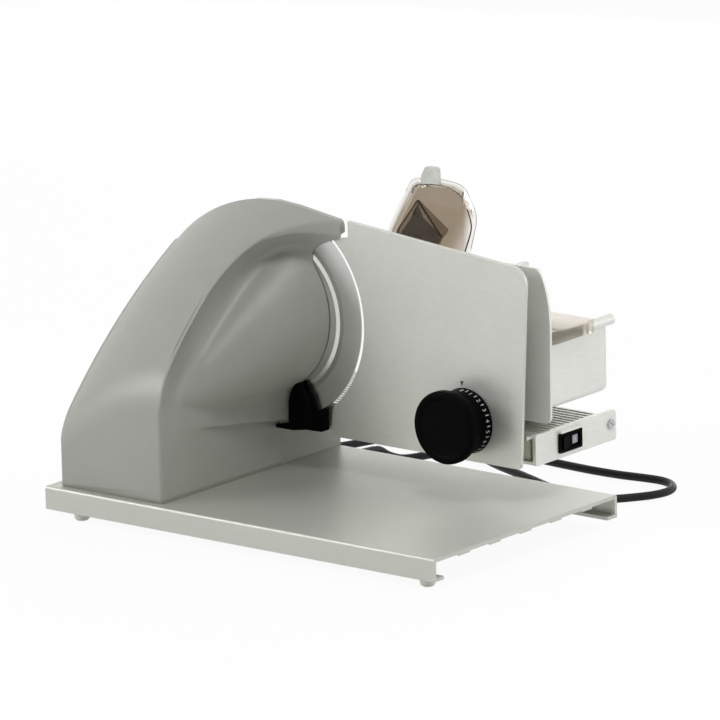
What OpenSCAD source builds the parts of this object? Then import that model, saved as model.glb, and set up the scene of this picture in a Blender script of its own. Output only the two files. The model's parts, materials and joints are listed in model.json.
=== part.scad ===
// Electric food slicer: base plate, motor housing with drive, blade, stop plate with dial,
// carriage on a rail, remnant holder, rocker switch and mains lead.
// Bench frame: x from the base's housing end, y from its front edge, z from its underside.

/* [Base plate] */
// Length of the base plate
base_l = 380; // [366:1:420]
// Depth of the base plate
base_w = 226; // [220:1:240]
// Height of the base plate's flanges
base_h = 18; // [16:0.5:22]
// Thickness of the base plate's top
base_t = 3; // [2.5:0.1:4]
// Thickness of the flanges
flange_t = 3; // [2:0.1:4]
// Width of the lip under each flange, flange included
lip_w = 12; // [11:0.5:16]
// Thickness of the lips
lip_t = 2.6; // [2:0.1:3.5]
// Diameter of a foot
foot_d = 12; // [11:0.5:16]
// Height of a foot under the lip
foot_h = 6; // [4:0.5:10]

/* [Motor housing] */
// Gap between the base's end and the housing
housing_x = 8.4; // [6:0.2:10]
// Gap between the base's front edge and the housing
housing_y = 8.2; // [6:0.2:10]
// Width of the housing's foot
housing_w = 102; // [100:1:104]
// Height of the housing's crown over the base's underside
crown_z = 230; // [228:1:234]
// Wall thickness of the housing
wall_t = 3.5; // [3:0.1:4]
// Radius of the crown, seen from the front
crown_r = 135; // [130:1:145]
// Radius of the long sloping face, seen from the side
slope_r = 500; // [480:5:540]
// Radius that turns the front face into the slope
front_r = 55; // [45:1:60]
// Radius of the bulge that ends at the blade
dome_r = 61.8; // [60.8:0.2:62.8]

/* [Blade and drive] */
// Blade diameter
blade_d = 170; // [168:0.5:172]
// Blade axis from the base's housing end
blade_x = 106; // [105:0.5:107]
// Blade axis height
blade_z = 139; // [138:0.5:140]
// Cutting plane from the base's front edge
blade_y = 156; // [155:0.5:158]
// Blade thickness at the hub
blade_t = 2.8; // [2.4:0.1:3]
// Gear module of the drive
gear_m = 1.25; // [1.2:0.01:1.27]
// Motor can diameter
motor_d = 64; // [56:1:66]
// Motor can length
motor_l = 66; // [50:1:70]

/* [Stop plate and dial] */
// Thickness of the stop plate
plate_t = 3; // [2.5:0.1:3.5]
// Upper right end of the stop plate
plate_x = 351; // [345:1:356]
// Height of the stop plate's upper left corner
plate_top = 220.5; // [217:0.5:223]
// Underside of the stop plate
plate_low = 47.6; // [44:0.2:49]
// Travel of the stop plate away from the blade
plate_travel = 20; // [10:1:20]
// Dial axis from the base's housing end
knob_x = 292; // [286:1:300]
// Dial axis height
knob_z = 79; // [78.5:0.1:79.5]
// Diameter of the knob's front
knob_d = 57; // [54:1:60]
// Diameter of the dial ring
dial_d = 51.2; // [48.4:0.2:54]
// Length of the knob's grip
knob_l = 17; // [15.5:0.5:20]

/* [Rail and carriage] */
// Far end of the rail
rail_x = 346; // [342:1:350]
// Underside of the rail
rail_z = 47; // [45:0.5:48]
// Height of the rail
rail_h = 24.5; // [24:0.1:25.5]
// Far side of the rail's channel
rail_y = 252; // [248:1:254]
// Width of the rail's end plate
end_w = 101; // [100:0.5:103]
// Guide rod diameter
rod_d = 10; // [8:0.5:11]
// Carriage floor over the rail
floor_gap = 15.4; // [15:0.1:17]
// Sheet thickness of the carriage
sheet_t = 3; // [2.5:0.1:3.2]
// Length of the carriage floor
floor_l = 130; // [120:1:136]
// Height of the handle roll's axis
roll_z = 142; // [140:0.5:146]
// Diameter of the handle roll
roll_d = 8.6; // [8:0.2:10]
// Height of the thumb guard's top
guard_top = 201.5; // [190:0.5:204]

/* [Cord] */
// Diameter of the mains lead
cord_d = 6.5; // [6:0.1:6.8]

/* [Hidden] */

$fn = 64;
fit = 0.05;
gap = 0.3;
grey_paint = [0.63, 0.63, 0.60];
alloy = [0.74, 0.74, 0.71];
light_alloy = [0.84, 0.84, 0.82];
steel = [0.72, 0.73, 0.75];
dark_steel = [0.35, 0.35, 0.37];
black = [0.06, 0.06, 0.06];
smoke = [0.36, 0.27, 0.21];
pale = [0.85, 0.86, 0.82];
brass = [0.72, 0.58, 0.30];
nylon = [0.82, 0.80, 0.74];
copper = [0.62, 0.36, 0.20];

// Far side of the whole slicer, which centres the part's frame
end_y0 = 170;
end_y1 = end_y0 + end_w;
deep = end_y1;

// Places the bench frame over the part's own origin, at the middle of its footprint
module bench() {
  translate([-base_l / 2, -deep / 2, foot_h]) children();
}

// Turns a solid drawn along z to lie along y
module along_y() {
  rotate([-90, 0, 0]) children();
}

// Turns a solid drawn along z to lie along x
module along_x() {
  rotate([0, 90, 0]) children();
}

// Extrudes an outline drawn as x and z from the plane y0 to y1
module slab_y(y0, y1) {
  translate([0, y1, 0]) rotate([90, 0, 0]) linear_extrude(y1 - y0) children();
}

// Extrudes an outline drawn as y and z from the plane x0 to x1
module slab_x(x0, x1) {
  translate([x0, 0, 0]) rotate([90, 0, 90]) linear_extrude(x1 - x0) children();
}

// A round bar along y, from y0 to y1 on the axis x, z
module bar_y(x, z, y0, y1, r) {
  translate([x, y0, z]) along_y() cylinder(r = r, h = y1 - y0);
}

// A round bar along x, from x0 to x1 on the axis y, z
module bar_x(y, z, x0, x1, r) {
  translate([x0, y, z]) along_x() cylinder(r = r, h = x1 - x0);
}

// Points of an arc about a centre, from angle a to angle b
function arc(cx, cy, r, a, b, n = 8) = [for (i = [0:n]) let (t = a + (b - a) * i / n)
  [cx + r * cos(t), cy + r * sin(t)]];

// A rectangle with round corners, as points
function round_box(x0, y0, x1, y1, r, n = 6) = concat(
  arc(x1 - r, y0 + r, r, -90, 0, n), arc(x1 - r, y1 - r, r, 0, 90, n),
  arc(x0 + r, y1 - r, r, 90, 180, n), arc(x0 + r, y0 + r, r, 180, 270, n));

// Base plate and feet
foot_in = 7.5;
foot_left_x = 30;
foot_right_in = 12;
foot_rear_in = 70;
foot_stem = 2.9;
foot_button = 4.4;
foot_button_h = 2.5;
foot_spots = [[foot_left_x, foot_in], [base_l - foot_right_in, foot_in], [foot_left_x, base_w - foot_in],
  [base_l - foot_rear_in, base_w - foot_in]];
rib_t = 13;
rib_h = 1.2;
rib_count = 5;
gland_x = 122;
gland_z = base_h / 2;
gland_hole = 4.6;

module base_section() {
  difference() {
    polygon(concat([[0, 0], [base_w, 0]],
      arc(base_w - 2, base_h - 2, 2, 0, 90, 4), arc(2, base_h - 2, 2, 90, 180, 4)));
    translate([flange_t, lip_t]) square([base_w - 2 * flange_t, base_h - lip_t - base_t]);
    translate([lip_w, -1]) square([base_w - 2 * lip_w, lip_t + 2]);
  }
  for (i = [1:rib_count])
    translate([i * base_w / (rib_count + 1) - rib_t / 2, base_h - base_t - rib_h])
      square([rib_t, rib_h + 0.5]);
}

module base_plate() {
  color(alloy) bench() difference() {
    slab_x(0, base_l) base_section();
    for (p = foot_spots) translate([p[0], p[1], -1]) cylinder(r = foot_stem + gap, h = lip_t + 2);
    for (p = frame_spots) translate([p[0], p[1], base_h - base_t - rib_h - 1]) {
      cylinder(r = screw_r + gap, h = base_t + rib_h + 2);
      cylinder(r = head_r + 1, h = rib_h + 1);
    }
    bar_y(gland_x, gland_z, base_w - flange_t - 1, base_w + 1, gland_hole);
  }
}

module feet() {
  color(pale) bench() for (p = foot_spots) translate([p[0], p[1], 0])
    rotate_extrude() polygon(concat([[0, -foot_h]], arc(foot_d / 2 - 3, 3 - foot_h, 3, -90, 0, 6),
      [[foot_d / 2, 0], [foot_stem, 0], [foot_stem, lip_t], [foot_button, lip_t],
       [foot_button - 1, lip_t + foot_button_h], [0, lip_t + foot_button_h]]));
}

// Motor housing: crown arch over x, sloping face over y, and a bulged side that ends at the blade
wall_x = housing_x + housing_w;
rear_y = blade_y - 3.5;
shroud_y = blade_y + 2;
crown_x = blade_x + 4.6;
crown_c = crown_z - crown_r;
arm_slope = 8.7;
arm_x = 174.5;
arm_run = crown_r * sin(arm_slope);
nose_angle = 28.7;
nose_y = blade_y + slope_r * sin(nose_angle);
blend_y = housing_y + front_r;
blend_z = sqrt(pow(slope_r - front_r, 2) - pow(nose_y - blend_y, 2));
blend_end = nose_y - (nose_y - blend_y) * slope_r / (slope_r - front_r);
flare_y = 70;
flare_r = 84;
dome_x = blade_x - 7.6;
dome_z = blade_z + 1.9;
tip_y = 50;
tip_r = wall_x - dome_x;
cone_rise = 0.42;
scoop_d = 9;
gap_y = 60;
gap_front = 68;
gap_rear = 56;
low_bulge = 12;
arm_lip = 12;
edge_r = 3;
n_band = 9;
n_side = 15;
n_station = 21;

function arch(x) = x < crown_x + arm_run
  ? crown_c + sqrt(crown_r * crown_r - pow(x - crown_x, 2))
  : crown_c + crown_r * cos(arm_slope) - tan(arm_slope) * (x - crown_x - arm_run);

function drop(y) = slope_r * cos(nose_angle) - (y < blend_end
  ? blend_z + sqrt(max(0, front_r * front_r - pow(blend_y - y, 2)))
  : sqrt(slope_r * slope_r - pow(nose_y - y, 2)));

function band(x, y) = arch(x) - drop(y);

function flare(y) = y > flare_y ? flare_r - sqrt(flare_r * flare_r - pow(min(y - flare_y, flare_r), 2)) : 0;
function crease(y) = min(arm_x, wall_x + flare(y));

function unit(v) = max(0, min(1, v));

function gap_line(y) = gap_front - (gap_front - gap_rear) * unit((y - gap_y) / (rear_y - gap_y));

function ease(t) = unit(t) * unit(t) * (3 - 2 * unit(t));

// The dome beside the blade: a leaning cone with round flanks, from its tip to the rear
function cone(y) = let (c = (y - tip_y) / (rear_y - tip_y)) c * (1.2 - 0.2 * c);
function flank(s) = s < 0.95 ? sqrt(1 - s * s) : 0.312 - 3.04 * (s - 0.95);
function dome(y, z) = let (
    r = max(2, tip_r + (dome_r - tip_r) * cone(y)),
    s = abs(z - dome_z + cone_rise * (rear_y - y)) / r)
  dome_x + r * flank(s) - wall_x;

// The low shelf under the dome and the scoop under the crease
function shelf(y) = low_bulge * pow(unit((y - tip_y - 5) / (rear_y - tip_y - 5)), 1.2);
function scoop(y) = scoop_d * unit((y - housing_y) / 30) * (1 - 0.6 * unit((y - 60) / 90));
function hollow_at(y, z) = shelf(y) * (1 - ease((z - 85) / 30)) - scoop(y) * ease((z - gap_line(y)) / 40);

function soft_max(a, b, k) = (a + b + sqrt((a - b) * (a - b) + k * k)) / 2;

// How much a fall down the side counts, where the crease climbs steeply
function ridge(y) = band(crease(y), y);
function lean(y) = let (m = (ridge(y + 1) - ridge(y - 1)) / 2) 1 / sqrt(1 + m * m);

// The side under the crease, which runs from the crease through the scoop to the dome
function side(y, z, top, lip) = let (
    t = unit((y - flare_y) / (rear_y - flare_y)),
    u = max(0, max(0, top - z) * lean(y) - lip),
    w = exp(-u / (14 + 6 * t) - pow(u / (60 - 45 * t), 2)))
  wall_x + w * (crease(y) - wall_x)
    + (1 - w) * soft_max(dome(y, z), hollow_at(y, z), 8 * unit((y - 30) / 30));

// The side's innermost reach within h above and below z, which keeps the wall's inner face inside
function lean_in(y, z, top, lip, h) = h == 0 ? side(y, z, top, lip)
  : min([for (d = [-h, 0, h]) side(y, z + d, top, lip)]);

function lip_at(y) = arm_lip * pow(unit((y - 112) / (rear_y - 112)), 1.5);

// One section of the housing at y, off millimetres inside its outer face, from left foot to right foot
function section(y, off, foot) = let (
    x0 = housing_x + off,
    ys = max(housing_y, y - 0.6 * off),
    dz = 1.6 * off,
    e = off > 0 ? 1.2 : edge_r,
    er = off > 0 ? 1.2 : edge_r + 3.5 * unit((y - 50) / 50) * unit((rear_y + 8 - y) / 30),
    top = band(crease(y), y),
    lip = lip_at(y),
    sink = 0.8 * off,
    xg = crease(y) - 0.9 * off,
    x1 = off > 0 ? min(xg, side(y, band(xg, ys) - dz - sink, top, lip) - off) : xg,
    zl = band(x0 + e, ys) - dz,
    zc = band(x1, ys) - dz,
    g = gap_line(y) + off,
    zs = zc - er)
  concat(
    [[x0, foot], [x0, (foot + zl) / 2], [x0, zl - 1.2 * e], [x0 + 0.3 * e, zl - 0.4 * e]],
    [for (i = [0:n_band - 1]) let (x = x0 + e + (x1 - x0 - e - 0.8 * er) * i / (n_band - 1))
      [x, band(x, ys) - dz]],
    [[x1 - 0.25 * er, zc - 0.3 * er]],
    [for (i = [0:n_side]) let (z = zs - (zs - g) * pow(i / n_side, 1.25))
      [min(x1 + 1.5 * (zs - z), lean_in(y, z, top, lip, sink) - off), z]],
    [[wall_x - off, g - 0.3], [wall_x - off, foot]]);

function station(i) = 0.5 - 0.5 * cos(180 * i / n_station);
function at_y(points, y) = [for (p = points) [p[0], y, p[1]]];

function shell_rings(off) = [for (i = [0:n_station])
  let (y = housing_y + off + (rear_y - housing_y - off) * station(i))
  at_y(section(y, off, base_h), y)];

// Joins two rings of m points into triangles, leaving the ring open at its ends
function skin(a, b, m, flip) = [for (j = [0:m - 2]) each flip
  ? [[a + j, a + j + 1, b + j], [a + j + 1, b + j + 1, b + j]]
  : [[a + j, b + j, a + j + 1], [a + j + 1, b + j, b + j + 1]]];

// Closes an open ring, which lies in one plane, with a fan from a point on its crown
fan = 8;
function cap(a, m, flip) = [for (j = [0:m - 1]) let (k = (j + 1) % m)
  if (j != fan && k != fan) flip ? [a + fan, a + k, a + j] : [a + fan, a + j, a + k]];

module housing_shell() {
  outer = shell_rings(0);
  inner = shell_rings(wall_t);
  m = len(outer[0]);
  n = n_station + 1;
  half = n * m;
  polyhedron(
    points = concat([for (r = outer) each r], [for (r = inner) each r]),
    faces = concat(
      [for (i = [0:n - 2]) each skin(i * m, (i + 1) * m, m, false)],
      [for (i = [0:n - 2]) each skin(half + i * m, half + (i + 1) * m, m, true)],
      cap(0, m, false),
      cap(half, m, true),
      skin((n - 1) * m, half + (n - 1) * m, m, false),
      [for (i = [0:n - 2]) each [[i * m, half + i * m, (i + 1) * m],
        [(i + 1) * m, half + i * m, half + (i + 1) * m]]],
      [for (i = [0:n - 2]) let (k = m - 1) each [[i * m + k, (i + 1) * m + k, half + i * m + k],
        [(i + 1) * m + k, half + (i + 1) * m + k, half + i * m + k]]],
      [[0, m - 1, half], [m - 1, half + m - 1, half]]));
}

module motor_housing() {
  color(grey_paint) bench() housing_shell();
}

// Pedestal behind the blade, which carries the rail
pedestal_t = 4;
screw_r = 2.5;
head_r = 4.5;
head_h = 2.5;
rail_spots = [for (x = [28, 92], y = [190, 214]) [x, y]];

module rail_pedestal() {
  color(grey_paint) bench() difference() {
    translate([housing_x, rear_y, base_h]) cube([housing_w, base_w - rear_y, rail_z - base_h]);
    translate([housing_x + wall_t, rear_y - 1, base_h - 1])
      cube([housing_w - 2 * wall_t, base_w - rear_y - wall_t + 1, rail_z - base_h - pedestal_t + 1]);
    for (p = rail_spots) translate([p[0], p[1], base_h]) cylinder(r = screw_r, h = rail_z);
  }
}

// Rear rim of the housing, with a round pocket for the blade
blade_r = blade_d / 2;
pocket_r = blade_r + 2.5;

module blade_shroud() {
  color(grey_paint) bench() slab_y(rear_y, shroud_y) difference() {
    polygon(section(rear_y, 0, rail_z));
    translate([blade_x, blade_z]) circle(r = pocket_r, $fn = 128);
    translate([blade_x, 0]) square([120, blade_z + 60]);
  }
}

// Bearing plate: closes the housing behind the blade and carries the drive
bp_y0 = rear_y - 12.5;
bp_y1 = bp_y0 + 5;
flange_y0 = bp_y0 - 12;
flange_h = 4;
frame_spots = [for (x = [32, 60, 88]) [x, bp_y0 - 6]];
bush_r = 12;
spindle_r = 7;
pin_r = 4;

// Drive: motor pinion to idler to spindle gear, with the idler's place worked out from the tooth counts
spindle_teeth = 45;
idler_small = 13;
idler_big = 48;
motor_teeth = 12;
motor_x = blade_x - 40;
motor_z = blade_z - 55;
motor_y1 = rear_y - 40.5;
motor_y0 = motor_y1 - motor_l;
bell_t = 5;
shaft_r = 4;
rotor_r = 20;
air_gap = 0.6;
reach_s = gear_m * (spindle_teeth + idler_small) / 2;
reach_m = gear_m * (idler_big + motor_teeth) / 2;
span = norm([motor_x - blade_x, motor_z - blade_z]);
span_u = [(motor_x - blade_x) / span, (motor_z - blade_z) / span];
run_a = (reach_s * reach_s - reach_m * reach_m + span * span) / (2 * span);
run_h = sqrt(reach_s * reach_s - run_a * run_a);
idler_x = blade_x + run_a * span_u[0] + run_h * span_u[1];
idler_z = blade_z + run_a * span_u[1] - run_h * span_u[0];
aim_idler = atan2(idler_z - blade_z, idler_x - blade_x);
aim_motor = atan2(motor_z - idler_z, motor_x - idler_x);
big_y0 = bp_y0 - 21.5;
big_y1 = bp_y0 - 14.5;
small_y1 = bp_y0 - 1.5;
pinion_y0 = big_y0 - 1.5;
pinion_y1 = big_y1 + 1;
spur_y0 = bp_y0 - 10;
spur_y1 = bp_y0 - 3;

// Outline of a spur gear with straight flanks and one tooth centred on the angle a
function gear_points(teeth, a) = let (
    r = gear_m * teeth / 2,
    w = 90 / teeth)
  [for (i = [0:teeth - 1]) let (c = a + 360 * i / teeth) each [
    (r - 1.15 * gear_m) * [cos(c - 1.12 * w), sin(c - 1.12 * w)],
    (r + 0.75 * gear_m) * [cos(c - 0.34 * w), sin(c - 0.34 * w)],
    (r + 0.75 * gear_m) * [cos(c + 0.34 * w), sin(c + 0.34 * w)],
    (r - 1.15 * gear_m) * [cos(c + 1.12 * w), sin(c + 1.12 * w)]]];

module spur(x, z, y0, y1, teeth, a) {
  slab_y(y0, y1) translate([x, z]) polygon(gear_points(teeth, a));
}

standoff_angles = [150, 210, 270, 330];
standoff_ring = motor_d / 2 - 5;

module bearing_plate() {
  color(alloy) bench() difference() {
    union() {
      slab_y(bp_y0, bp_y1) polygon(section(bp_y0 - 0.5, wall_t + 0.6, base_h));
      translate([22, flange_y0, base_h]) cube([76, bp_y0 - flange_y0 + 1, flange_h]);
    }
    bar_y(blade_x, blade_z, bp_y0 - 1, bp_y1 + 1, bush_r);
    bar_y(idler_x, idler_z, bp_y0 - 1, bp_y1 + 1, pin_r);
    for (p = frame_spots) translate([p[0], p[1], base_h - 1]) cylinder(r = screw_r, h = flange_h + 2);
  }
}

module frame_screws() {
  color(dark_steel) bench() for (p = frame_spots) translate([p[0], p[1], base_h - base_t - head_h]) {
    cylinder(r = head_r, h = head_h);
    cylinder(r = screw_r, h = head_h + base_t + flange_h);
  }
}

module spindle_bush() {
  color(brass) bench() difference() {
    union() {
      bar_y(blade_x, blade_z, bp_y0 - 1, bp_y1 + 5, bush_r);
      bar_y(blade_x, blade_z, bp_y1, bp_y1 + 3.5, bush_r + 4);
    }
    bar_y(blade_x, blade_z, bp_y0 - 2, bp_y1 + 6, spindle_r + fit);
  }
}

module idler_pin() {
  color(steel) bench() {
    bar_y(idler_x, idler_z, big_y0 - 2.5, bp_y1, pin_r);
    bar_y(idler_x, idler_z, big_y0 - 2.5, big_y0 - 0.5, pin_r + 2);
  }
}

module motor_stator() {
  color(dark_steel) bench() difference() {
    bar_y(motor_x, motor_z, motor_y0 + bell_t, motor_y1 - bell_t, motor_d / 2);
    bar_y(motor_x, motor_z, motor_y0, motor_y1, rotor_r + air_gap);
  }
}

module motor_end_bells() {
  color(alloy) bench() for (y = [motor_y0, motor_y1 - bell_t]) difference() {
    bar_y(motor_x, motor_z, y, y + bell_t, motor_d / 2);
    bar_y(motor_x, motor_z, y - 1, y + bell_t + 1, shaft_r + fit);
  }
}

module motor_standoffs() {
  color(steel) bench() for (a = standoff_angles)
    bar_y(motor_x + standoff_ring * cos(a), motor_z + standoff_ring * sin(a), motor_y1, bp_y0, 3);
}

cap_r = 14;
cap_x = 30;

module motor_capacitor() {
  color(pale) bench() bar_y(cap_x, base_h + cap_r + 0.1, 62, 110, cap_r);
}

// Black deflector under the blade's lower edge, which turns the slices away: a fin and a block
defl_y0 = rear_y - 6;
defl_y1 = rear_y - 0.6;
defl_low = rail_z + 2;
defl_x = 157.6;
defl_corner = arc(defl_x - 2.1, rail_z + 6.9, 2.1, -90, 0, 4);
// The fin stands this far from the housing's wall
fin_gap = 13;
fin_x = wall_x + fin_gap;

module slice_deflector() {
  color(black) bench() {
    slab_y(defl_y0, defl_y1) polygon(concat(
      [[wall_x + 0.4, defl_low], [128, defl_low + 0.2], [141, defl_low + 2.4]], defl_corner,
      [[defl_x, 70.6], [fin_x + 20.3, 63.1], [fin_x + 18.8, 71], [fin_x + 17.4, 76.4], [fin_x + 15.2, 79.4],
       [fin_x + 12.3, 82.9], [fin_x + 11.9, 86.6], [fin_x + 10.8, 87.1], [fin_x + 7.6, 86.3],
       [fin_x + 4, 81.9], [fin_x + 1.8, 77], [fin_x + 0.4, 71.6], [fin_x, 54.4], [wall_x + 0.4, 51.4]]));
    slab_y(defl_y1 - 0.1, plate_y0 + 0.2) polygon(concat(
      [[141.4, defl_low + 3]], defl_corner, arc(blade_x, blade_z, blade_r + 1.3, -53.3, -65.5, 6)));
  }
}

// Blade body
blade_y0 = blade_y - blade_t;
bore_r = 8;

module blade() {
  color(steel) bench() translate([blade_x, 0, blade_z]) along_y() rotate_extrude($fn = 144) polygon([
    [bore_r + fit, blade_y0], [blade_r - 35, blade_y0], [blade_r - 24, blade_y0 + 0.6],
    [blade_r - 21, blade_y0 + 1.5], [blade_r - 17, blade_y0 + 1.2], [blade_r - 0.6, blade_y - 0.5],
    [blade_r, blade_y - 0.25], [blade_r - 0.6, blade_y], [blade_r - 9, blade_y],
    [blade_r - 9.5, blade_y - 0.4], [blade_r - 50, blade_y - 0.4], [blade_r - 50.5, blade_y],
    [bore_r + fit, blade_y]]);
}

hub_y0 = blade_y0 - 2.7;
screw_m = 4;

module blade_spindle() {
  color(steel) bench() difference() {
    union() {
      bar_y(blade_x, blade_z, spur_y0 - 1, hub_y0, spindle_r);
      bar_y(blade_x, blade_z, hub_y0, blade_y0, 14);
      bar_y(blade_x, blade_z, blade_y0, blade_y - 0.2, bore_r);
    }
    bar_y(blade_x, blade_z, blade_y - 16, blade_y + 1, screw_m);
  }
}

module spindle_gear() {
  color(nylon) bench() difference() {
    spur(blade_x, blade_z, spur_y0, spur_y1, spindle_teeth, aim_idler);
    bar_y(blade_x, blade_z, spur_y0 - 1, spur_y1 + 1, spindle_r);
  }
}

module blade_screw() {
  color(dark_steel) bench() difference() {
    union() {
      bar_y(blade_x, blade_z, blade_y, blade_y + 3.2, 13);
      bar_y(blade_x, blade_z, blade_y - 14, blade_y, screw_m);
    }
    translate([blade_x - 14, blade_y + 1.6, blade_z - 1.2]) cube([28, 3, 2.4]);
  }
}

// Idler body
module idler_gear() {
  color(nylon) bench() difference() {
    union() {
      spur(idler_x, idler_z, big_y0, big_y1, idler_big, aim_motor);
      spur(idler_x, idler_z, big_y1, small_y1, idler_small, aim_idler + 180 + 180 / idler_small);
    }
    bar_y(idler_x, idler_z, big_y0 - 1, small_y1 + 1, pin_r + fit);
  }
}

// Motor rotor body
fan_y0 = motor_y0 - 11;
fan_r = 24;
fan_blades = 7;

module motor_rotor() {
  color(steel) bench() {
    bar_y(motor_x, motor_z, fan_y0 - 1, pinion_y1 + 0.5, shaft_r);
    bar_y(motor_x, motor_z, motor_y0 + bell_t + 4, motor_y1 - bell_t - 4, rotor_r);
  }
}

module motor_pinion() {
  color(steel) bench() difference() {
    spur(motor_x, motor_z, pinion_y0, pinion_y1, motor_teeth, aim_motor + 180 + 180 / motor_teeth);
    bar_y(motor_x, motor_z, pinion_y0 - 1, pinion_y1 + 1, shaft_r);
  }
}

module cooling_fan() {
  color(black) bench() difference() {
    union() {
      bar_y(motor_x, motor_z, fan_y0, fan_y0 + 8, 8);
      bar_y(motor_x, motor_z, fan_y0 + 6.5, fan_y0 + 8, fan_r);
      for (i = [0:fan_blades - 1]) translate([motor_x, fan_y0, motor_z])
        rotate([0, i * 360 / fan_blades, 0]) translate([6, 0, -0.8]) cube([fan_r - 7, 7, 1.6]);
    }
    bar_y(motor_x, motor_z, fan_y0 - 1, fan_y0 + 9, shaft_r);
  }
}

// Stop plate body
plate_y1 = blade_y + 1;
plate_y0 = plate_y1 - plate_t;
notch_x = arm_x + 5.5;
plate_br = 344;
cut_r = blade_r + 3;
bush_out = 9;
bush_in = 7.05;
plate_rod_r = 4;
plate_rod_x = [208, 312];
plate_rod_z = rail_z + 13;
plate_rod_end = plate_y1 + 51;

module plate_outline() {
  polygon(concat(
    [[158.8, plate_low], [plate_br - 4, plate_low]],
    arc(plate_br - 4, plate_low + 4, 4, -70, -3, 4),
    arc(plate_x - 13.4, plate_top - 28.1, 14, -2.7, 84.9, 10),
    [[notch_x, plate_top], [notch_x, plate_top - 12.5]],
    arc(blade_x, blade_z, cut_r, 47.3, -51, 30)));
}

module stop_plate() {
  color(alloy) bench() difference() {
    slab_y(plate_y0, plate_y1) plate_outline();
    bar_y(knob_x, knob_z, plate_y0 - 1, plate_y1 + 1, bush_out);
  }
}

module plate_rods() {
  color(steel) bench() for (x = plate_rod_x) bar_y(x, plate_rod_z, plate_y1, plate_rod_end, plate_rod_r);
}

module dial_bush() {
  color(brass) bench() difference() {
    bar_y(knob_x, knob_z, plate_y0 + 0.1, plate_y1 + 0.2, bush_out);
    bar_y(knob_x, knob_z, plate_y0 - 1, plate_y1 + 1, bush_in);
  }
}

// Knob body, which turns on the plate and runs along a fixed threaded post
dial_y1 = plate_y0 - 0.5;
skirt_l = 12;
waist_in = 1.6;
dial_y0 = dial_y1 - skirt_l;
knob_y0 = dial_y0 - knob_l;
hub_r = bush_in - fit;
hub_end = plate_y1 + 2;
post_r = 4;
post_tip = knob_y0 + 4.5;

module knob() {
  color(black) bench() translate([knob_x, 0, knob_z]) along_y() rotate_extrude($fn = 96) polygon(concat(
    [[0, knob_y0 + 0.8], [knob_d / 2 - 7, knob_y0 + 0.8], [knob_d / 2 - 5, knob_y0]],
    arc(knob_d / 2 - 3, knob_y0 + 3, 3, -90, 0, 5),
    arc(knob_d / 2 - 3, knob_y0 + 7, 3, 0, 60, 4),
    [[dial_d / 2 - waist_in + 0.6, knob_y0 + 12], [dial_d / 2 - waist_in, dial_y0],
     [hub_r, dial_y0], [hub_r, plate_y1 + 0.5], [hub_r - 1, plate_y1 + 0.5],
     [hub_r - 1, plate_y1 + 1.5], [hub_r, plate_y1 + 1.5], [hub_r, hub_end],
     [post_r + 0.06, hub_end], [post_r + 0.06, post_tip - 0.5], [0, post_tip - 0.5]]));
}

module dial_ring() {
  color(black) bench() translate([knob_x, 0, knob_z]) along_y() rotate_extrude($fn = 96) polygon([
    [hub_r, dial_y0], [dial_d / 2 - waist_in, dial_y0], [dial_d / 2 - 0.4, dial_y1 - 1],
    [dial_d / 2, dial_y1 - 0.4], [dial_d / 2, dial_y1], [hub_r, dial_y1]]);
}

module dial_circlip() {
  color(steel) bench() difference() {
    bar_y(knob_x, knob_z, plate_y1 + 0.5, plate_y1 + 1.5, bush_out);
    bar_y(knob_x, knob_z, plate_y1, plate_y1 + 2, hub_r - 1);
    translate([knob_x - 2, plate_y1, knob_z]) cube([4, 3, 12]);
  }
}

block_y0 = blade_y + 6.6;
block_y1 = block_y0 + 10;
rail_top = rail_z + rail_h;

module thread_post() {
  color(steel) bench() bar_y(knob_x, knob_z, post_tip, block_y1, post_r);
}

module post_block() {
  color(alloy) bench() difference() {
    translate([knob_x - 8, block_y0, rail_top]) cube([16, block_y1 - block_y0, knob_z + 5.4 - rail_top]);
    bar_y(knob_x, knob_z, block_y0 - 1, block_y1 + 1, post_r);
  }
}

// Rail and its end plate
rail_t = 2.5;
rail_x0 = 10;
rail_x1 = rail_x - 3;
rail_y0 = blade_y + 7;
rail_low_y0 = blade_y + 16;
tread_h = 0.8;
tread_pitch = 6;
top_t = 3;
guide_y0 = rail_low_y0 + 4;
guide_y1 = guide_y0 + 20;

module rail_section() {
  translate([rail_low_y0, rail_z]) square([rail_y - rail_low_y0, rail_t]);
  translate([rail_y - rail_t, rail_z]) square([rail_t, rail_h - tread_h]);
  translate([rail_y0, rail_top - top_t]) square([rail_y - rail_y0, top_t - tread_h]);
  for (y = [rail_y0:tread_pitch:rail_y - 3])
    translate([y, rail_top - tread_h - 0.5]) square([3, tread_h + 0.5]);
}

module rail() {
  color(alloy) bench() difference() {
    slab_x(rail_x0, rail_x1) rail_section();
    for (p = rail_spots) translate([p[0], p[1], rail_z - 1]) cylinder(r = screw_r + gap, h = rail_t + 2);
  }
}

module rail_screws() {
  color(dark_steel) bench() for (p = rail_spots) translate([p[0], p[1], rail_z - pedestal_t - 3]) {
    cylinder(r = screw_r, h = pedestal_t + 3 + rail_t);
    translate([0, 0, pedestal_t + 3 + rail_t]) cylinder(r = head_r, h = head_h);
  }
}

block_in = 9;
block_out = 24;

module guide_blocks() {
  color(nylon) bench() for (i = [0, 1]) difference() {
    translate([plate_rod_x[i] - block_in, guide_y0, rail_z + rail_t])
      cube([block_in + [block_in, block_out][i], guide_y1 - guide_y0, rail_h - rail_t - top_t]);
    bar_y(plate_rod_x[i], plate_rod_z, guide_y0 - 1, guide_y1 + 1, plate_rod_r + fit);
  }
}

rod_y = end_y1 - 7;
rod_z = rail_z + 13.5;
rod_r = rod_d / 2;
rod_x0 = 14;
switch_y = end_y0 + 42.2;
switch_z = rail_z + 11.8;
switch_w = 28.4;
switch_h = 15.4;

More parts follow.
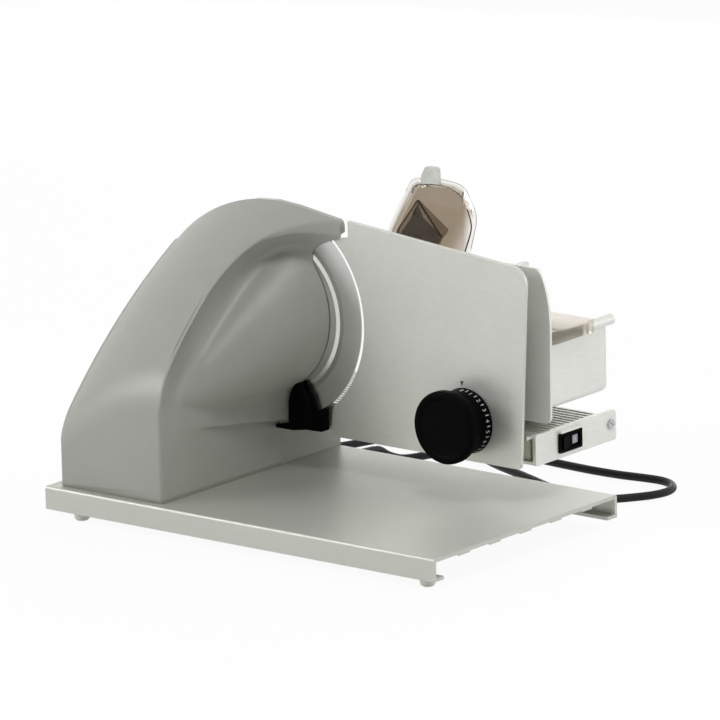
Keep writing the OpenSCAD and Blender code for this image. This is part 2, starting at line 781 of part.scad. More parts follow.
module end_outline() {
  polygon(concat(arc(end_y1 - 1, rail_z + 1, 1, -90, 0, 3), arc(end_y1 - 5, rail_top - 5, 5, 0, 90, 6),
    arc(end_y0 + 2, rail_top - 2, 2, 90, 180, 3), arc(end_y0 + 2, rail_z + 2, 2, 180, 270, 3)));
}

module end_plate() {
  color(alloy) bench() difference() {
    slab_x(rail_x1, rail_x) end_outline();
    translate([rail_x1 - 1, switch_y - 12.6, switch_z - 6.4]) cube([5, 25.2, 12.8]);
    bar_x(rod_y, rod_z, rail_x1 - 1, rail_x + 1, screw_r + gap);
  }
}

module guide_rod() {
  color(steel) bench() difference() {
    bar_x(rod_y, rod_z, rod_x0, rail_x1, rod_r);
    bar_x(rod_y, rod_z, rail_x1 - 14, rail_x1 + 1, screw_r);
  }
}

module rod_screw() {
  color(steel) bench() difference() {
    union() {
      bar_x(rod_y, rod_z, rail_x, rail_x + 1.2, 4);
      bar_x(rod_y, rod_z, rail_x1 - 12, rail_x, screw_r);
    }
    translate([rail_x, rod_y, rod_z]) rotate([-40, 0, 0]) translate([0.4, -6, -0.6]) cube([3, 12, 1.2]);
  }
}

module rod_bracket() {
  color(alloy) bench() difference() {
    translate([rod_x0, rail_y, rod_z - 9]) cube([9, end_y1 - rail_y - 0.5, 18]);
    bar_x(rod_y, rod_z, rod_x0 - 1, rod_x0 + 10, rod_r);
  }
}

// Rocker switch in the end plate
rocker_w = 22;
rocker_h = 9.6;
rocker_tilt = 8;
rocker_pin = 1.3;

module switch_body() {
  color(black) bench() difference() {
    union() {
      slab_x(rail_x, rail_x + 1.6) polygon(round_box(switch_y - switch_w / 2, switch_z - switch_h / 2,
        switch_y + switch_w / 2, switch_z + switch_h / 2, 1.5, 4));
      translate([rail_x - 20, switch_y - 12.4, switch_z - 6.2]) cube([20.5, 24.8, 12.4]);
    }
    translate([rail_x - 7, switch_y - rocker_w / 2 - 0.5, switch_z - rocker_h / 2 - 0.4])
      cube([12, rocker_w + 1, rocker_h + 0.8]);
    translate([rail_x, switch_y, switch_z - 6.3]) cylinder(r = rocker_pin + fit, h = 12.6);
  }
}

module rocker() {
  color(black) bench() translate([rail_x, switch_y, switch_z]) {
    rotate([0, 0, rocker_tilt]) translate([0, 0, -rocker_h / 2]) linear_extrude(rocker_h) polygon([
      [-3, -rocker_w / 2 + 1], [1.6, -rocker_w / 2], [0.9, 0],
      [1.6, rocker_w / 2], [-3, rocker_w / 2 - 1]]);
    translate([0, 0, -6]) cylinder(r = rocker_pin, h = 12);
  }
}

module switch_brow() {
  color(light_alloy) bench() slab_x(rail_x, rail_x + 3.4) polygon(round_box(
    switch_y - 14.5, switch_z + switch_h / 2 + 0.6,
    switch_y + 14.5, switch_z + switch_h / 2 + 2.8, 0.8, 4));
}

// Carriage body
floor_z = rail_top + floor_gap;
floor_x1 = rail_x - 1;
floor_x0 = floor_x1 - floor_l;
floor_y0 = blade_y + 8;
guard_y0 = blade_y + 18;
guard_y1 = guard_y0 + 2.5;
wall_y1 = end_y1 - 10;
roll_x = floor_x1 - sheet_t / 2;
roll_r = roll_d / 2;
roll_y0 = guard_y1 + 1.5;
guard_x0 = floor_x1 - 47;
guard_x1 = 358.6;
bend = 5;

module carriage() {
  color(light_alloy) bench() difference() {
    union() {
      translate([0, 0, floor_z]) linear_extrude(sheet_t) polygon([
        [floor_x0, floor_y0], [guard_x0, floor_y0], [guard_x0, guard_y1],
        [guard_x0 + 4, guard_y1], [guard_x0 + 4, wall_y1], [floor_x0, wall_y1]]);
      slab_y(guard_y1, wall_y1) polygon(concat([[guard_x0 + 2, floor_z]],
        arc(floor_x1 - bend, floor_z + bend, bend, -90, 0, 8),
        [[floor_x1, roll_z - 2.4], [floor_x1 - sheet_t, roll_z - 2.4]],
        arc(floor_x1 - bend, floor_z + bend, bend - sheet_t, 0, -90, 6),
        [[guard_x0 + 2, floor_z + sheet_t]]));
    }
    difference() {
      translate([floor_x1 - bend - 1, wall_y1 - 7, floor_z - 1]) cube([bend + 2, 8, 8]);
      bar_x(wall_y1 - 7, floor_z + 7, floor_x1 - bend - 2, floor_x1 + 2, 7);
    }
  }
}

module handle_roll() {
  color(light_alloy) bench() difference() {
    translate([roll_x, 0, roll_z]) along_y() rotate_extrude() polygon([
      [0, roll_y0], [roll_r - 0.8, roll_y0], [roll_r, roll_y0 + 0.8],
      [roll_r, end_y1 - 1.6], [roll_r - 0.5, end_y1 - 0.5], [roll_r - 1.6, end_y1], [0, end_y1]]);
    translate([roll_x - sheet_t / 2 - 0.1, guard_y1, roll_z - roll_r - 1])
      cube([sheet_t + 0.2, wall_y1 - guard_y1 + 0.3, roll_r - 1.3]);
  }
}

module thumb_guard() {
  color(alloy) bench() {
    slab_y(guard_y0, guard_y1) polygon(concat(
      [[guard_x0 + 0.2, floor_z - 5.9], [guard_x1 - 6, floor_z - 5.9]],
      arc(guard_x1 - 6, floor_z - 0.9, 5, -90, 0, 5),
      [for (t = [90:-7.5:0]) [guard_x1 - 14.6 + 14.6 * sin(t), guard_top - 46.5 + 46.5 * cos(t)]],
      [[guard_x0 + 0.2, guard_top]]));
    slab_x(guard_x0 + 22, guard_x0 + 24.5) polygon(concat(
      [[guard_y1 - 0.5, floor_z + sheet_t], [guard_y1 + 11, floor_z + sheet_t], [guard_y1 + 11, guard_top - 44],
       [guard_y1 + 20, guard_top - 30]],
      arc(guard_y1 + 16, guard_top - 5.2, 4, 0, 90, 5), [[guard_y1 - 0.5, guard_top - 1.2]]));
  }
}

slider_x0 = floor_x0 + 4.5;
slider_x1 = slider_x0 + 58;

module slider_block() {
  color(black) bench() difference() {
    translate([slider_x0, rail_y + 3.2, rod_z - 7.5])
      cube([slider_x1 - slider_x0, end_y1 - rail_y - 3.8, floor_z - rod_z + 7.5]);
    bar_x(rod_y, rod_z, slider_x0 - 1, slider_x1 + 1, rod_r + fit);
  }
}

module glide_feet() {
  color(nylon) bench() for (x = [floor_x0 + 13, floor_x1 - 45])
    translate([x, guard_y1 + 30, rail_top + gap]) cube([20, 16, floor_gap - gap]);
}

// Remnant holder, hooked over the handle roll
hold_y0 = 200;
hold_t = 3;
hook_y0 = 188.5;
hook_y1 = 239;
hold_low = floor_z + sheet_t + 3;
hook_z = roll_z + roll_r + 0.4;
hook_t = 2.5;
hook_x = roll_x + roll_r + 0.5;
hook_low = roll_z - 3;
hold_x0 = 176;
hold_x1 = 326;
hood_t = 2.2;
hood_y1 = 215;
hood_low = hook_z + hook_t;
hood_c = [215, hood_low + 50];
hood_face = [[180, hood_low], [181, 184], [187, 205], [201, 227], [207, 237], [211, 243.3], [224.5, 245.8],
  [239, 246.2], [250.5, 243], [256, 239], [256.8, 236], [239, 207.8], [206, hood_low]];
hood_rim = [[168, hood_low], [168, 184], [172, 202], [178, 213], [185, 223], [190, 233], [194, 240.8],
  [201.5, 245], [223, 247], [238, 246], [247, 243], [253, 233.7], [257, 226], [258, 219], [256.6, 212],
  [250, 190], [242, hood_low]];

// An outline of the hood, drawn in by d towards its middle
function drawn_in(p, d) = [for (q = p) q - d * (q - hood_c) / norm(q - hood_c)];

module remnant_holder() {
  color(smoke) bench() {
    slab_y(hold_y0, hold_y0 + hold_t) polygon([
      [hold_x0, hold_low], [hold_x1, hold_low], [hold_x1, hook_z + hook_t], [hold_x0, hook_z + hook_t]]);
    translate([hold_x0, hold_y0, hook_z]) cube([hook_x + hook_t - hold_x0, hook_y1 - hold_y0, hook_t]);
    translate([hook_x, hook_y0, hook_low]) cube([hook_t, hook_y1 - hook_y0, hook_z + hook_t - hook_low]);
    for (x = [196, 224, 252, 280, 308], z = [hold_low + 12, hold_low + 34])
      translate([x, hold_y0 + 0.5, z]) rotate([90, 0, 0]) cylinder(r1 = 1.8, r2 = 0.5, h = 4.5);
  }
}

// The hood flares from its face to an open rim towards the operator's hand
module holder_hood() {
  color(smoke) bench() difference() {
    hull() {
      slab_y(hold_y0, hold_y0 + hood_t) polygon(hood_face);
      slab_y(hood_y1 - 1, hood_y1) polygon(hood_rim);
    }
    hull() {
      slab_y(hold_y0 + hood_t, hold_y0 + hood_t + 0.1) polygon(drawn_in(hood_face, hood_t));
      slab_y(hood_y1 + 1, hood_y1 + 2) polygon(drawn_in(hood_rim, hood_t));
    }
  }
}

module holder_web() {
  color(smoke) bench() slab_y(hold_y0 + hood_t, hold_y0 + hood_t + 3) polygon([
    [184, hood_low + 3], [184.5, 186], [190.5, 206], [209.6, 231], [232.5, 204], [203.5, hood_low + 3]]);
}

module holder_tab() {
  color(pale) bench() slab_y(hold_y0, hold_y0 + 2.4) polygon([
    [214, 244.55], [224.5, 246.1], [234.4, 246.33], [234.5, 251.6], [233.8, 258.7], [232.4, 260.4],
    [224.9, 260.4], [220.2, 259.3], [216.6, 253]]);
}

// Mains lead: a gland in the rear flange, a free run, a tied coil and a plug
cord_r = cord_d / 2;
gland_l = 26;
floor_c = cord_r - foot_h;
tie_t = 1;
coil_x = 18;
coil_y = base_w + 44;
coil_r = 38;
coil_step = cord_d + 0.6;
coil_turns = 3.25;
coil_start = -15;
coil_low = floor_c + tie_t + 0.2;
coil_rings = 78;
hump = cord_d + 0.6;

module strain_relief() {
  color(black) bench() translate([gland_x, 0, gland_z]) along_y() rotate_extrude($fn = 32) polygon([
    [0, base_w - flange_t - 3], [6, base_w - flange_t - 3], [6, base_w - flange_t],
    [gland_hole - 0.1, base_w - flange_t], [gland_hole - 0.1, base_w], [6, base_w], [6, base_w + 2],
    [5.2, base_w + 3], [cord_r + 0.5, base_w + gland_l], [0, base_w + gland_l]]);
}

// Route of the free run from the gland to the coil
coil_in = [coil_x + coil_r * cos(coil_start), coil_y + coil_r * sin(coil_start), coil_low];
coil_dir = [sin(coil_start), -cos(coil_start), 0];
lead_route = [
  [gland_x, base_w + gland_l, gland_z], [gland_x + 0.2, base_w + gland_l + 7, gland_z - 1],
  [125, 267, 2.5], [129, 277, -1.6], [133, 288, floor_c], [138, 302, floor_c], [144, 315, floor_c],
  [153, 327, floor_c], [165, 336, floor_c], [180, 341, floor_c], [200, 341, floor_c],
  [225, 338, floor_c], [250, 336, floor_c], [275, 335, floor_c], [300, 336, floor_c],
  [320, 339, floor_c], [336, 340, floor_c], [348, 336, floor_c], [357, 327, floor_c],
  [360, 315, floor_c], [357, 302, floor_c], [350, 290, floor_c], [341, 278, floor_c],
  [330, 269, floor_c], [316, 265, floor_c], [300, 267, floor_c], [276, 276, floor_c],
  [250, 287, floor_c], [225, 297, floor_c], [200, 307, floor_c], [184, 313, floor_c + 0.2 * hump],
  [168, 318, floor_c + 0.75 * hump], [150, 323, floor_c + hump], [132, 328, floor_c + 0.75 * hump],
  [116, 331, floor_c + 0.2 * hump], [100, 332, floor_c], [87, 329, floor_c], [77, 320, floor_c],
  [72, 308, floor_c], [67, 292, floor_c], [62, 276, floor_c + 0.6],
  coil_in - 7 * coil_dir, coil_in];

// Smooth curve through route points, three points for each stretch
function smooth(p, k) = let (n = len(p)) concat([for (i = [0:n - 2], j = [0:k - 1]) let (
    t = j / k,
    a = i > 0 ? p[i - 1] : 2 * p[0] - p[1],
    b = p[i],
    c = p[i + 1],
    d = i < n - 2 ? p[i + 2] : 2 * p[n - 1] - p[n - 2])
  0.5 * (2 * b + (c - a) * t + (2 * a - 5 * b + 4 * c - d) * t * t
    + (3 * b - a - 3 * c + d) * t * t * t)], [p[n - 1]]);

function level(v) = v / norm(v);

// A round tube of s sides along the points p
module tube(p, r, s) {
  n = len(p);
  rings = [for (i = [0:n - 1]) let (
      t = level(p[min(i + 1, n - 1)] - p[max(i - 1, 0)]),
      a = level(cross(t, [0, 0, 1])),
      b = cross(a, t))
    [for (j = [0:s - 1]) p[i] + r * (a * cos(360 * j / s) + b * sin(360 * j / s))]];
  polyhedron(
    points = [for (q = rings) each q],
    faces = concat(
      [for (i = [0:n - 2], j = [0:s - 1]) let (k = (j + 1) % s) each
        [[i * s + j, i * s + k, (i + 1) * s + j], [i * s + k, (i + 1) * s + k, (i + 1) * s + j]]],
      [[for (j = [s - 1:-1:0]) j]],
      [[for (j = [0:s - 1]) (n - 1) * s + j]]));
}

module cord_lead() {
  color(black) bench() tube(smooth(lead_route, 2), cord_r, 8);
}

function coil_rad(u) = coil_r - coil_step * min(u, coil_turns - u);
function coil_at(u) = let (a = coil_start - 360 * u) [
  coil_x + coil_rad(u) * cos(a),
  coil_y + coil_rad(u) * sin(a),
  coil_low + coil_step * ease((u - coil_turns / 2 + 0.25) / 0.5)];
coil_points = [for (i = [0:coil_rings]) coil_at(i * coil_turns / coil_rings)];
coil_a1 = coil_start - 360 * coil_turns;
out_dir = [sin(coil_a1), -cos(coil_a1), 0];
coil_end = coil_at(coil_turns) + cord_d * out_dir;
coil_gap = min([for (i = [0:coil_rings - 14], j = [i + 14:coil_rings])
  norm(coil_points[i] - coil_points[j])]) - cord_d;
echo(coil_gap = coil_gap);

module cord_coil() {
  color(black) bench() tube(concat(coil_points, [coil_end]), cord_r, 6);
}

plug_t = 13.6;
plug_l = 36;
plug_c = plug_t / 2 - foot_h;
plug_a = 165;
plug_dir = [cos(plug_a), sin(plug_a), 0];
tail_l = 30;
plug_at = [coil_end[0] + tail_l * plug_dir[0], coil_end[1] + tail_l * plug_dir[1], plug_c];

module cord_tail() {
  step = coil_end[2] - plug_c;
  color(black) bench() tube([for (i = [0:10]) let (t = i / 10) [
    coil_end[0] + tail_l * t * plug_dir[0],
    coil_end[1] + tail_l * t * plug_dir[1],
    coil_end[2] - step * ease((t - 0.2) / 0.6)]], cord_r, 8);
}

tie_a = 110;
tie_w = 8;
tie_in = coil_r - coil_step * coil_turns / 2 - cord_r - 1;
tie_out = coil_r + cord_r + 0.5;
tie_top = coil_low + coil_step + cord_r + 0.25;

module cord_tie() {
  color(dark_steel) bench() translate([coil_x, coil_y, -foot_h]) rotate(tie_a) difference() {
    translate([tie_in - tie_t, -tie_w / 2, 0])
      cube([tie_out - tie_in + 2 * tie_t, tie_w, tie_top + foot_h + tie_t]);
    translate([tie_in, -tie_w, tie_t]) cube([tie_out - tie_in, 2 * tie_w, tie_top + foot_h - tie_t]);
  }
}

module plug_body() {
  color(black) bench() translate([plug_at[0], plug_at[1], -foot_h]) rotate(plug_a) linear_extrude(plug_t)
    polygon([[0, -6], [8, -6.5], [16, -11], [22, -17.5], [plug_l, -17.5],
      [plug_l, 17.5], [22, 17.5], [16, 11], [8, 6.5], [0, 6]]);
}

module plug_pins() {
  color(steel) bench() translate(plug_at) rotate(plug_a) for (y = [-9.5, 9.5])
    translate([plug_l, y, 0]) along_x() cylinder(r = 2, h = 19);
}

base_plate();
feet();
motor_housing();
rail_pedestal();
blade_shroud();
bearing_plate();
frame_screws();
spindle_bush();
idler_pin();
motor_stator();
motor_end_bells();
motor_standoffs();
motor_capacitor();
slice_deflector();
blade();
blade_spindle();
spindle_gear();
blade_screw();
idler_gear();
motor_rotor();
motor_pinion();
cooling_fan();
stop_plate();
plate_rods();
dial_bush();
knob();
dial_ring();
dial_circlip();
thread_post();
post_block();
guide_blocks();
rail();
rail_screws();
end_plate();
guide_rod();
rod_screw();
rod_bracket();
switch_body();
switch_brow();
rocker();
carriage();
handle_roll();
thumb_guard();
slider_block();
glide_feet();
remnant_holder();
holder_hood();
holder_web();
holder_tab();
strain_relief();
cord_lead();
cord_coil();
cord_tail();
cord_tie();
plug_body();
plug_pins();
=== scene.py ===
"""Electric food slicer: looks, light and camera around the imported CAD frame."""

import json
import math

import bpy
from mathutils import Matrix, Vector


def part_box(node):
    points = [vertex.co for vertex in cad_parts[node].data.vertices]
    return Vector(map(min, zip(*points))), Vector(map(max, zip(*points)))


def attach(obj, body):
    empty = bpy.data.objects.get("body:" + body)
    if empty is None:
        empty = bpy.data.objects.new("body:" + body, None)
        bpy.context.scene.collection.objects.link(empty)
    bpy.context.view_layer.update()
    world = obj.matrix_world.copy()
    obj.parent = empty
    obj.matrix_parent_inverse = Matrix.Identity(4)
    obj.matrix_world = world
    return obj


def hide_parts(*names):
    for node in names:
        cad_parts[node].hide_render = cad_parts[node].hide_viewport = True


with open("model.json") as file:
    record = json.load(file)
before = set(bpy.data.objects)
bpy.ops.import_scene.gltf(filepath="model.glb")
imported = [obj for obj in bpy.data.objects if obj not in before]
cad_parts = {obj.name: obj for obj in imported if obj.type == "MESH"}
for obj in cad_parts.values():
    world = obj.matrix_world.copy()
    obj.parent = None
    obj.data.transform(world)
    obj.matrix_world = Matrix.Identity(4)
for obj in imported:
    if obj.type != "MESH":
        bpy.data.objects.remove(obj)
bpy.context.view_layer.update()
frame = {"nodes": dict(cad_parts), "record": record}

MM = 0.001
# The base plate's low corner is the origin of the bench frame, which the places below use, in millimetres
ORIGIN = Vector(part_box("base_plate")[0])


def bench(x, y, z):
    """A bench-frame place in millimetres, as a point of the row frame in metres."""
    return ORIGIN + Vector((x, y, z)) * MM


# Camera
CAMERA_AZIMUTH = 38.9225
CAMERA_ELEVATION = 14.1674
CAMERA_ROLL = -1.2821
CAMERA_LENS = 500
CAMERA_SENSOR = 36
CAMERA_REACH = 100
# Where the camera stands along its own right, up and back axes, in bench millimetres
CAMERA_RIGHT, CAMERA_UP, CAMERA_BACK = 241.607, 114.380, 7691.983


def camera_axes():
    """The camera's right, up and back directions."""
    a, e, r = (math.radians(v) for v in (CAMERA_AZIMUTH, CAMERA_ELEVATION, CAMERA_ROLL))
    back = Vector((math.sin(a) * math.cos(e), -math.cos(a) * math.cos(e), math.sin(e)))
    right = Vector((math.cos(a), math.sin(a), 0))
    up = back.cross(right)
    return math.cos(r) * right + math.sin(r) * up, math.cos(r) * up - math.sin(r) * right, back


def add_camera():
    data = bpy.data.cameras.new("camera")
    data.lens = CAMERA_LENS
    data.sensor_width = CAMERA_SENSOR
    data.sensor_fit = "HORIZONTAL"
    data.clip_end = CAMERA_REACH
    cam = bpy.data.objects.new("camera", data)
    bpy.context.collection.objects.link(cam)
    right, up, back = camera_axes()
    place = bench(0, 0, 0) + (right * CAMERA_RIGHT + up * CAMERA_UP + back * CAMERA_BACK) * MM
    turn = Matrix((right, up, back)).transposed()
    cam.matrix_world = Matrix.Translation(place) @ turn.to_4x4()
    bpy.context.scene.camera = cam


add_camera()


# Node helpers for materials
class Shader:
    """Builds one material's nodes with short calls."""

    def __init__(self, name):
        self.mat = bpy.data.materials.new(name)
        self.mat.use_nodes = True
        self.tree = self.mat.node_tree
        self.bsdf = self.tree.nodes["Principled BSDF"]
        self.out = self.tree.nodes["Material Output"]

    def node(self, kind, **inputs):
        n = self.tree.nodes.new(kind)
        for key, value in inputs.items():
            n.inputs[key.replace("_", " ")].default_value = value
        return n

    def link(self, a, b):
        self.tree.links.new(a, b)

    def coords(self, scale=(1, 1, 1)):
        """Object coordinates in metres, stretched by scale."""
        tex = self.node("ShaderNodeTexCoord")
        mapping = self.node("ShaderNodeMapping", Scale=scale)
        self.link(tex.outputs["Object"], mapping.inputs["Vector"])
        return mapping.outputs["Vector"]

    def noise(self, vector, scale, detail=3, roughness=0.55):
        n = self.node("ShaderNodeTexNoise", Scale=scale, Detail=detail, Roughness=roughness)
        self.link(vector, n.inputs["Vector"])
        return n.outputs["Fac"]

    def ramp(self, value, low, high, out_low=0.0, out_high=1.0):
        """A value from low to high, as one from out_low to out_high."""
        n = self.node("ShaderNodeMapRange", From_Min=low, From_Max=high, To_Min=out_low, To_Max=out_high)
        self.link(value, n.inputs["Value"])
        return n.outputs["Result"]

    def math(self, operation, a, b):
        """Combines two values, each a number or a socket."""
        n = self.node("ShaderNodeMath")
        n.operation = operation
        for socket, value in zip(n.inputs, (a, b)):
            if isinstance(value, (int, float)):
                socket.default_value = value
            else:
                self.link(value, socket)
        return n.outputs["Value"]

    def mix(self, factor, a, b):
        """Mixes two colours, each a triple or a socket, by a socket."""
        n = self.node("ShaderNodeMix")
        n.data_type = "RGBA"
        for socket, value in ((n.inputs[6], a), (n.inputs[7], b)):
            if isinstance(value, tuple):
                socket.default_value = (*value, 1)
            else:
                self.link(value, socket)
        self.link(factor, n.inputs[0])
        return n.outputs[2]

    def bump(self, height, strength, distance):
        n = self.node("ShaderNodeBump", Strength=strength, Distance=distance)
        self.link(height, n.inputs["Height"])
        self.link(n.outputs["Normal"], self.bsdf.inputs["Normal"])

    def set(self, **values):
        """Sets the main shader's sockets, each to a constant or a socket."""
        for key, value in values.items():
            socket = self.bsdf.inputs[key.replace("_", " ")]
            if hasattr(value, "is_linked"):
                self.link(value, socket)
            else:
                socket.default_value = value


def linear(r, g, b):
    """A colour written as 0 to 255 display values, as linear light."""
    def one(v):
        v /= 255
        return v / 12.92 if v <= 0.04045 else ((v + 0.055) / 1.055) ** 2.4
    return one(r), one(g), one(b)


def shade(colour, factor):
    return tuple(c * factor for c in colour)


# Materials
def paint(name, colour, rough=0.4):
    """Satin sprayed paint with a faint orange peel and mottled tone."""
    s = Shader(name)
    at = s.coords()
    tone = s.ramp(s.noise(at, 35, 4), 0.3, 0.7)
    speck = s.ramp(s.noise(at, 2600, 2), 0.4, 0.6)
    base = s.mix(tone, shade(colour, 0.97), shade(colour, 1.03))
    s.set(Base_Color=s.mix(s.math("MULTIPLY", speck, 0.1), base, shade(colour, 0.8)))
    s.set(Roughness=s.ramp(s.noise(at, 120), 0.3, 0.7, rough - 0.04, rough + 0.05))
    s.set(Specular_IOR_Level=0.45, Coat_Weight=0.06, Coat_Roughness=0.25)
    s.bump(s.noise(at, 700, 2), 0.06, 0.0004)
    return s.mat


def anodised(name, colour, along=(1, 1, 1), metal=0.55, rough=0.42, contrast=0.05):
    """Anodised aluminium with a fine grain, drawn out along one direction."""
    s = Shader(name)
    grain = s.noise(s.coords(along), 900, 4, 0.65)
    wide = s.noise(s.coords(), 18, 3)
    tone = s.math("ADD", s.math("MULTIPLY", grain, 0.65), s.math("MULTIPLY", wide, 0.35))
    dark, bright = shade(colour, 1 - contrast), shade(colour, 1 + contrast)
    s.set(Base_Color=s.mix(s.ramp(tone, 0.35, 0.65), dark, bright))
    s.set(Roughness=s.ramp(grain, 0.3, 0.7, rough - 0.05, rough + 0.07))
    s.set(Metallic=metal)
    s.bump(grain, 0.05, 0.0002)
    return s.mat


def ring_distance(s, at, centre):
    """Distance of each point from an axis along y through the centre."""
    away = s.node("ShaderNodeVectorMath")
    away.operation = "SUBTRACT"
    away.inputs[1].default_value = centre
    s.link(at, away.inputs[0])
    flat = s.node("ShaderNodeVectorMath")
    flat.operation = "MULTIPLY"
    flat.inputs[1].default_value = (1, 0, 1)
    s.link(away.outputs["Vector"], flat.inputs[0])
    length = s.node("ShaderNodeVectorMath")
    length.operation = "LENGTH"
    s.link(flat.outputs["Vector"], length.inputs[0])
    return length.outputs["Value"]


def turned_steel(name, colour, centre=None, rough=0.24, contrast=0.08):
    """Ground metal; with a centre, its grinding marks run in rings about that axis along y."""
    s = Shader(name)
    if centre is None:
        grain = s.noise(s.coords((1, 1, 14)), 500, 3)
    else:
        rings = s.node("ShaderNodeTexNoise", Scale=2600, Detail=3, Roughness=0.6)
        rings.noise_dimensions = "1D"
        s.link(ring_distance(s, s.coords(), centre), rings.inputs["W"])
        grain = rings.outputs["Fac"]
        around = s.node("ShaderNodeTangent")
        around.direction_type, around.axis = "RADIAL", "Y"
        s.link(around.outputs["Tangent"], s.bsdf.inputs["Tangent"])
        s.set(Anisotropic=0.2)
    dark, bright = shade(colour, 1 - contrast), shade(colour, 1 + contrast / 2)
    s.set(Base_Color=s.mix(s.ramp(grain, 0.3, 0.7), dark, bright))
    s.set(Roughness=s.ramp(grain, 0.3, 0.7, rough - 0.03, rough + 0.05), Metallic=1.0)
    s.bump(grain, contrast / 4, 0.00005)
    return s.mat


def plastic(name, colour, rough=0.45, grain=900, strength=0.12, gloss=0.5):
    """Moulded plastic with a fine spark-eroded grain."""
    s = Shader(name)
    at = s.coords()
    fine = s.noise(at, grain, 3)
    s.set(Base_Color=s.mix(s.ramp(s.noise(at, 60), 0.3, 0.7), shade(colour, 0.85), shade(colour, 1.15)))
    s.set(Roughness=s.ramp(fine, 0.3, 0.7, rough - 0.06, rough + 0.08), Specular_IOR_Level=gloss)
    s.bump(fine, strength, 0.0003)
    return s.mat


def smoked(name, tint, sheen, solid=0.05, front=None, fade=(0, 1)):
    """See-through tinted plastic with a sheen; the tint may run along y from a deeper one in front."""
    s = Shader(name)
    at = s.coords()
    clear = s.node("ShaderNodeBsdfTransparent")
    if front is None:
        clear.inputs["Color"].default_value = (*tint, 1)
    else:
        split = s.node("ShaderNodeSeparateXYZ")
        s.link(at, split.inputs["Vector"])
        s.link(s.mix(s.ramp(split.outputs["Y"], *fade), front, tint), clear.inputs["Color"])
    s.set(Base_Color=s.mix(s.ramp(s.noise(at, 40), 0.3, 0.7), shade(sheen, 0.9), shade(sheen, 1.1)))
    s.set(Roughness=s.ramp(s.noise(at, 90), 0.3, 0.7, 0.12, 0.2), Metallic=1.0)
    fresnel = s.node("ShaderNodeFresnel", IOR=1.3)
    blend = s.node("ShaderNodeMixShader")
    s.link(s.math("MINIMUM", s.math("ADD", fresnel.outputs["Fac"], solid), 1.0), blend.inputs[0])
    s.link(clear.outputs["BSDF"], blend.inputs[1])
    s.link(s.bsdf.outputs["BSDF"], blend.inputs[2])
    s.link(blend.outputs["Shader"], s.out.inputs["Surface"])
    return s.mat


BLADE_AXIS = bench(106, 0, 139)
ALONG_X, ALONG_Y = (0.15, 1, 1), (1, 0.15, 1)
SMOKE_SHEEN = linear(120, 100, 84)
CLEAR_SHEEN = linear(240, 239, 236)
HOOD_FRONT = linear(197, 187, 174)
HOOD_FADE = (bench(0, 203, 0).y, bench(0, 212, 0).y)
MATERIALS = {
    "grey_paint": paint("grey paint", linear(166, 167, 159)),
    "alloy": anodised("satin alloy", linear(205, 206, 199), ALONG_X),
    "base_alloy": anodised("satin base alloy", linear(193, 194, 186), ALONG_X, 0.5, 0.45, 0.03),
    # On the end plate and thumb guard, which NODE_LOOKS gives it, this lighter alloy is painted light
    "light_alloy": anodised("light satin alloy", linear(226, 227, 221), ALONG_Y, 0.3),
    "blade_steel": turned_steel("ground blade steel", linear(206, 206, 203), BLADE_AXIS, 0.2, 0.05),
    "steel": turned_steel("turned steel", linear(186, 188, 190)),
    "dark_steel": turned_steel("blackened steel", linear(74, 75, 78), rough=0.4),
    "black_plastic": plastic("black moulded plastic", linear(8, 8, 8), 0.5, 900, 0.1, 0.02),
    "black_rubber": plastic("black lead rubber", linear(18, 18, 19), 0.5, 1400, 0.06, 0.25),
    "smoked_plastic": smoked("smoked plastic", linear(243, 239, 233), CLEAR_SHEEN),
    "hood_smoke": smoked("hood smoke", linear(253, 252, 250), CLEAR_SHEEN, 0.02, HOOD_FRONT, HOOD_FADE),
    "dark_smoke": smoked("deep smoke", linear(216, 211, 202), SMOKE_SHEEN),
    "core_smoke": smoked("deepest smoke", linear(197, 197, 205), SMOKE_SHEEN),
    "rim_clear": plastic("clear sheet seen on edge", linear(196, 196, 192), 0.3, 900, 0.02),
    "rim_smoke": plastic("smoke seen on edge", linear(52, 48, 44), 0.3, 900, 0.02),
    "pale_plastic": plastic("pale plastic", linear(216, 220, 212), 0.35, 700, 0.04),
    "pale_rubber": plastic("pale rubber", linear(214, 214, 202), 0.4, 700, 0.05),
    "nylon": plastic("moulded nylon", linear(226, 221, 204), 0.42, 800, 0.06),
    "bush_brass": turned_steel("turned brass", linear(196, 160, 92)),
    "white_print": plastic("white print", linear(214, 216, 216), 0.5, 900, 0.02),
    "dark_print": plastic("dark print", linear(58, 58, 58), 0.5, 900, 0.02),
    "switch_window": plastic("switch window", linear(142, 148, 160), 0.25, 900, 0.02),
}
# CAD nodes whose finish differs from the rest of their slot; the end plate and thumb guard take the lighter
# alloy as painted light, brighter than their own alloy colour to stand in for light falling on them
NODE_LOOKS = {
    "base_plate": "base_alloy", "holder_hood": "hood_smoke", "end_plate": "light_alloy",
    "thumb_guard": "light_alloy",
}


def give(obj, name):
    """Gives a piece one material."""
    obj.data.materials.clear()
    obj.data.materials.append(MATERIALS[name])


def dress_cad():
    """Every CAD node takes the material of its slot in the record, or its own look."""
    for part in frame["record"]["subparts"]:
        obj = frame["nodes"][part["node"]]
        look = MATERIALS[NODE_LOOKS.get(part["node"], part["material_slot"])]
        for slot in obj.material_slots:
            slot.material = look
        if not obj.material_slots:
            obj.data.materials.append(look)


dress_cad()

# Widths of the rounding on the CAD nodes' sharp edges, in millimetres
SOFT_EDGES = {
    "stop_plate": 0.6, "end_plate": 0.5, "carriage": 0.5, "thumb_guard": 0.5, "rail": 0.2,
    "switch_body": 0.3, "rocker": 0.25, "remnant_holder": 0.4, "holder_tab": 0.6, "plug_body": 2.0,
    "slider_block": 0.6, "rail_pedestal": 0.6, "slice_deflector": 0.5, "blade_shroud": 0.4,
    "switch_brow": 0.3,
}
KNOB_EDGE, KNOB_STEPS = 2.5, 4
EDGE_STEPS, EDGE_ANGLE = 2, 35
WELD_GAP = 1e-6


